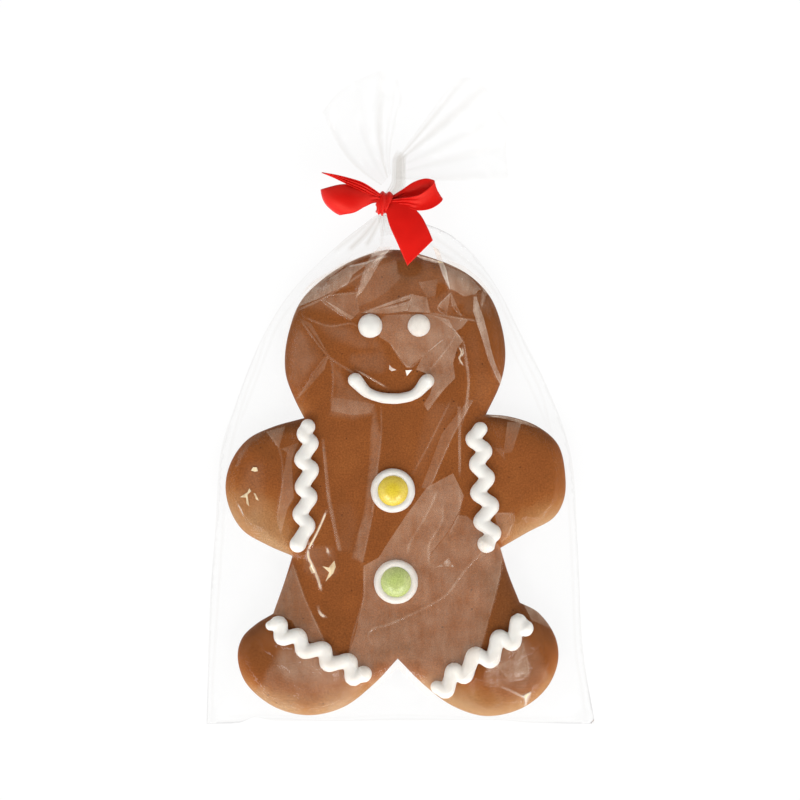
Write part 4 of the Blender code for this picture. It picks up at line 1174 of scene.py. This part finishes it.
def ribbon_strip(name, stations, material):
    """A strip of the bow: gathered where it is narrow, arched across where it is wide."""
    path = smooth_path(stations, STRIP_STEP)
    cupping = CUPPING.get(name, PLAIN_CUPPING)
    columns = 25
    points, uvs = [], []
    run = np.concatenate(([0.0], np.cumsum(np.linalg.norm(np.diff(path[:, :3], axis=0), axis=1))))
    for i, (x, y, z, *half) in enumerate(path):
        half = np.array(half)
        ahead = path[min(i + 1, len(path) - 1), :3] - path[max(i - 1, 0), :3]
        out = np.cross(ahead, half)
        out /= np.linalg.norm(out) + 1e-9
        squeeze = 1.0 - min(1.0, 2 * np.linalg.norm(half) / RIBBON_WIDTH)
        for c in range(columns):
            s = 2.0 * c / (columns - 1) - 1.0
            folds = max(0.0, squeeze - GATHER) * GATHER_DEPTH * math.cos(3.0 * math.pi * s + 0.4)
            folds *= min(1.0, np.linalg.norm(half) / 1.6) ** 2
            cup = cupping * np.linalg.norm(half) * (1 - s * s)
            ripple = 0.15 * noise.noise(Vector((s * 1.4, run[i] / 9.0, len(name))))
            points.append(np.array((x, y, z)) + half * s + out * (folds + cup + ripple))
            uvs.append((run[i] * MM, s * RIBBON_WIDTH / 2 * MM))
    return ribbon_object(name, points, uvs, len(path), columns, False, material)


def band_point(s, a):
    """Where the turns of ribbon round the neck run, at a share across and an angle round."""
    radius = NECK_RADIUS + BAND_GAP + 0.5 + 0.35 * math.cos(5.0 * math.pi * s / 2 + 0.5)
    radius += 0.2 * noise.noise(Vector((math.cos(a) * 2, math.sin(a) * 2, s * 2)))
    return (NECK_X + 1.0 + radius * math.cos(a), BAND_Y + s * BAND_LENGTH / 2,
            NECK_Z + radius * math.sin(a))


def knot_point(s, a):
    """Where the strip of the knot runs, folded small and wrapped over the middle of the bow."""
    (x, y, z), (wide, deep, high) = KNOT_CENTER, KNOT_SIZE
    bulge = 0.72 + 0.28 * math.cos(s * 1.35)
    size = bulge * (1.0 + 0.11 * math.cos(2.4 * math.pi * s + 2.0 * math.cos(a) + 0.5))
    size += 0.05 * noise.noise(Vector((math.cos(a) * 1.5, math.sin(a) * 1.5, s * 2)))
    return (x + wide * s * (0.76 + 0.26 * math.cos(a)) + 0.9 * math.cos(a),
            y + deep * size * math.cos(a), z + high * size * math.sin(a))


def ribbon_ring(name, rows, columns, radius, place, material):
    """A closed ring of satin through the points that place gives."""
    points, uvs = [], []
    for r in range(rows):
        s = 2.0 * r / (rows - 1) - 1.0
        for c in range(columns):
            a = 2 * math.pi * c / columns
            points.append(place(s, a))
            uvs.append((a * radius * MM, s * RIBBON_WIDTH / 2 * MM))
    return ribbon_object(name, points, uvs, rows, columns, True, material)


# ---------------------------------------------------------------- stage

def softbox(name, place, aim, size, radiance):
    """A rectangular soft light of a given radiance. Lengths in metres."""
    light = bpy.data.lights.new(name, "AREA")
    light.shape = "RECTANGLE"
    light.size, light.size_y = size
    light.energy = radiance * math.pi * size[0] * size[1]
    obj = bpy.data.objects.new(name, light)
    obj.location = place
    obj.rotation_euler = (Vector(aim) - Vector(place)).to_track_quat("-Z", "Y").to_euler()
    bpy.context.scene.collection.objects.link(obj)
    return obj


def dome():
    """The world: bright low down and towards the figure's feet, dim straight above."""
    look = Look("studio", "worlds", "ShaderNodeOutputWorld")
    direction = look.node("ShaderNodeTexCoord").outputs["Generated"]
    part = look.node("ShaderNodeSeparateXYZ", Vector=direction).outputs
    height = look.node("ShaderNodeMapRange", interpolation_type="SMOOTHSTEP", Value=part["Z"],
                       From_Min=0.66, From_Max=0.92, To_Min=1.26, To_Max=0.03).outputs[0]
    feet = look.node("ShaderNodeMapRange", Value=part["Y"], From_Min=-1.0, From_Max=1.0,
                     To_Min=1.80, To_Max=0.42).outputs[0]
    strength = look.compute("MULTIPLY", height, feet)
    light = look.node("ShaderNodeBackground", Color=1.0, Strength=strength)
    return look.finish(light.outputs[0])


def studio():
    """Plain pale floor, soft lights from the figure's feet and both sides, and the dome."""
    softbox("key_feet", (0.0, -1.50, 0.95), (0, 0, 0), (1.2, 0.4), 2.6)
    softbox("key_left", (-0.80, -1.10, 1.30), (0, 0, 0), (0.7, 0.7), 4.35)
    softbox("key_right", (0.80, -1.10, 1.30), (0, 0, 0), (0.7, 0.7), 4.35)
    bpy.ops.mesh.primitive_plane_add(size=FLOOR_SIZE, location=(0, 0, -FLOOR_GAP))
    floor = bpy.context.object
    floor.name = "floor"
    floor.data.materials.append(floor_material())
    scene = bpy.context.scene
    scene.world = dome()
    scene.view_settings.view_transform = "Standard"
    scene.cycles.transparent_max_bounces = FILM_LAYERS_SEEN_THROUGH


def camera():
    """Straight above, so far away that the view width fits at the biscuit's upper edge."""
    lens = bpy.data.cameras.new("camera")
    lens.lens, lens.sensor_width = LENS, SENSOR
    obj = bpy.data.objects.new("camera", lens)
    distance = VIEW_WIDTH * LENS / SENSOR
    obj.location = Vector((*VIEW_CENTER, BISCUIT_TOP * 0.8 + distance)) * MM
    bpy.context.scene.collection.objects.link(obj)
    bpy.context.scene.camera = obj


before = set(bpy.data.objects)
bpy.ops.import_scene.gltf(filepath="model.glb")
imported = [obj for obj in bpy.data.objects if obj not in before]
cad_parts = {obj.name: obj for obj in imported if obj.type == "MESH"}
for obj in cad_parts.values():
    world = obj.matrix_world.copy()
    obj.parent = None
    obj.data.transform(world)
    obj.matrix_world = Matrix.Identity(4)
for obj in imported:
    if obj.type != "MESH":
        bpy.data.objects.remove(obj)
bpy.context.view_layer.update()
camera()
studio()
contents = [biscuit(gingerbread_material())]
white = icing_material()
contents += icing(white)
for color, center in BUTTONS.items():
    shell = lentil_material("sugar_" + color, *LENTIL_COLORS[color])
    contents.append(lentil("lentil_" + color, center, shell))
for piece in contents:
    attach(piece, BODY)
    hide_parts("bag")
clear = film_material()
films = [film_bag(Contents(contents), clear), film_neck(clear)]
films += [film_lobe(name, *lobe, clear) for name, lobe in LOBES.items()]
for piece in films:
    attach(piece, BODY)
    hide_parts("bag")
satin = satin_material()
bow = [ribbon_strip(name, stations, satin) for name, stations in STRIPS.items()]
bow += [ribbon_ring("band", 26, 90, 6, band_point, satin),
        ribbon_ring("knot", 31, 64, 4, knot_point, satin)]
for piece in bow:
    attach(piece, BODY)
    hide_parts("ribbon")
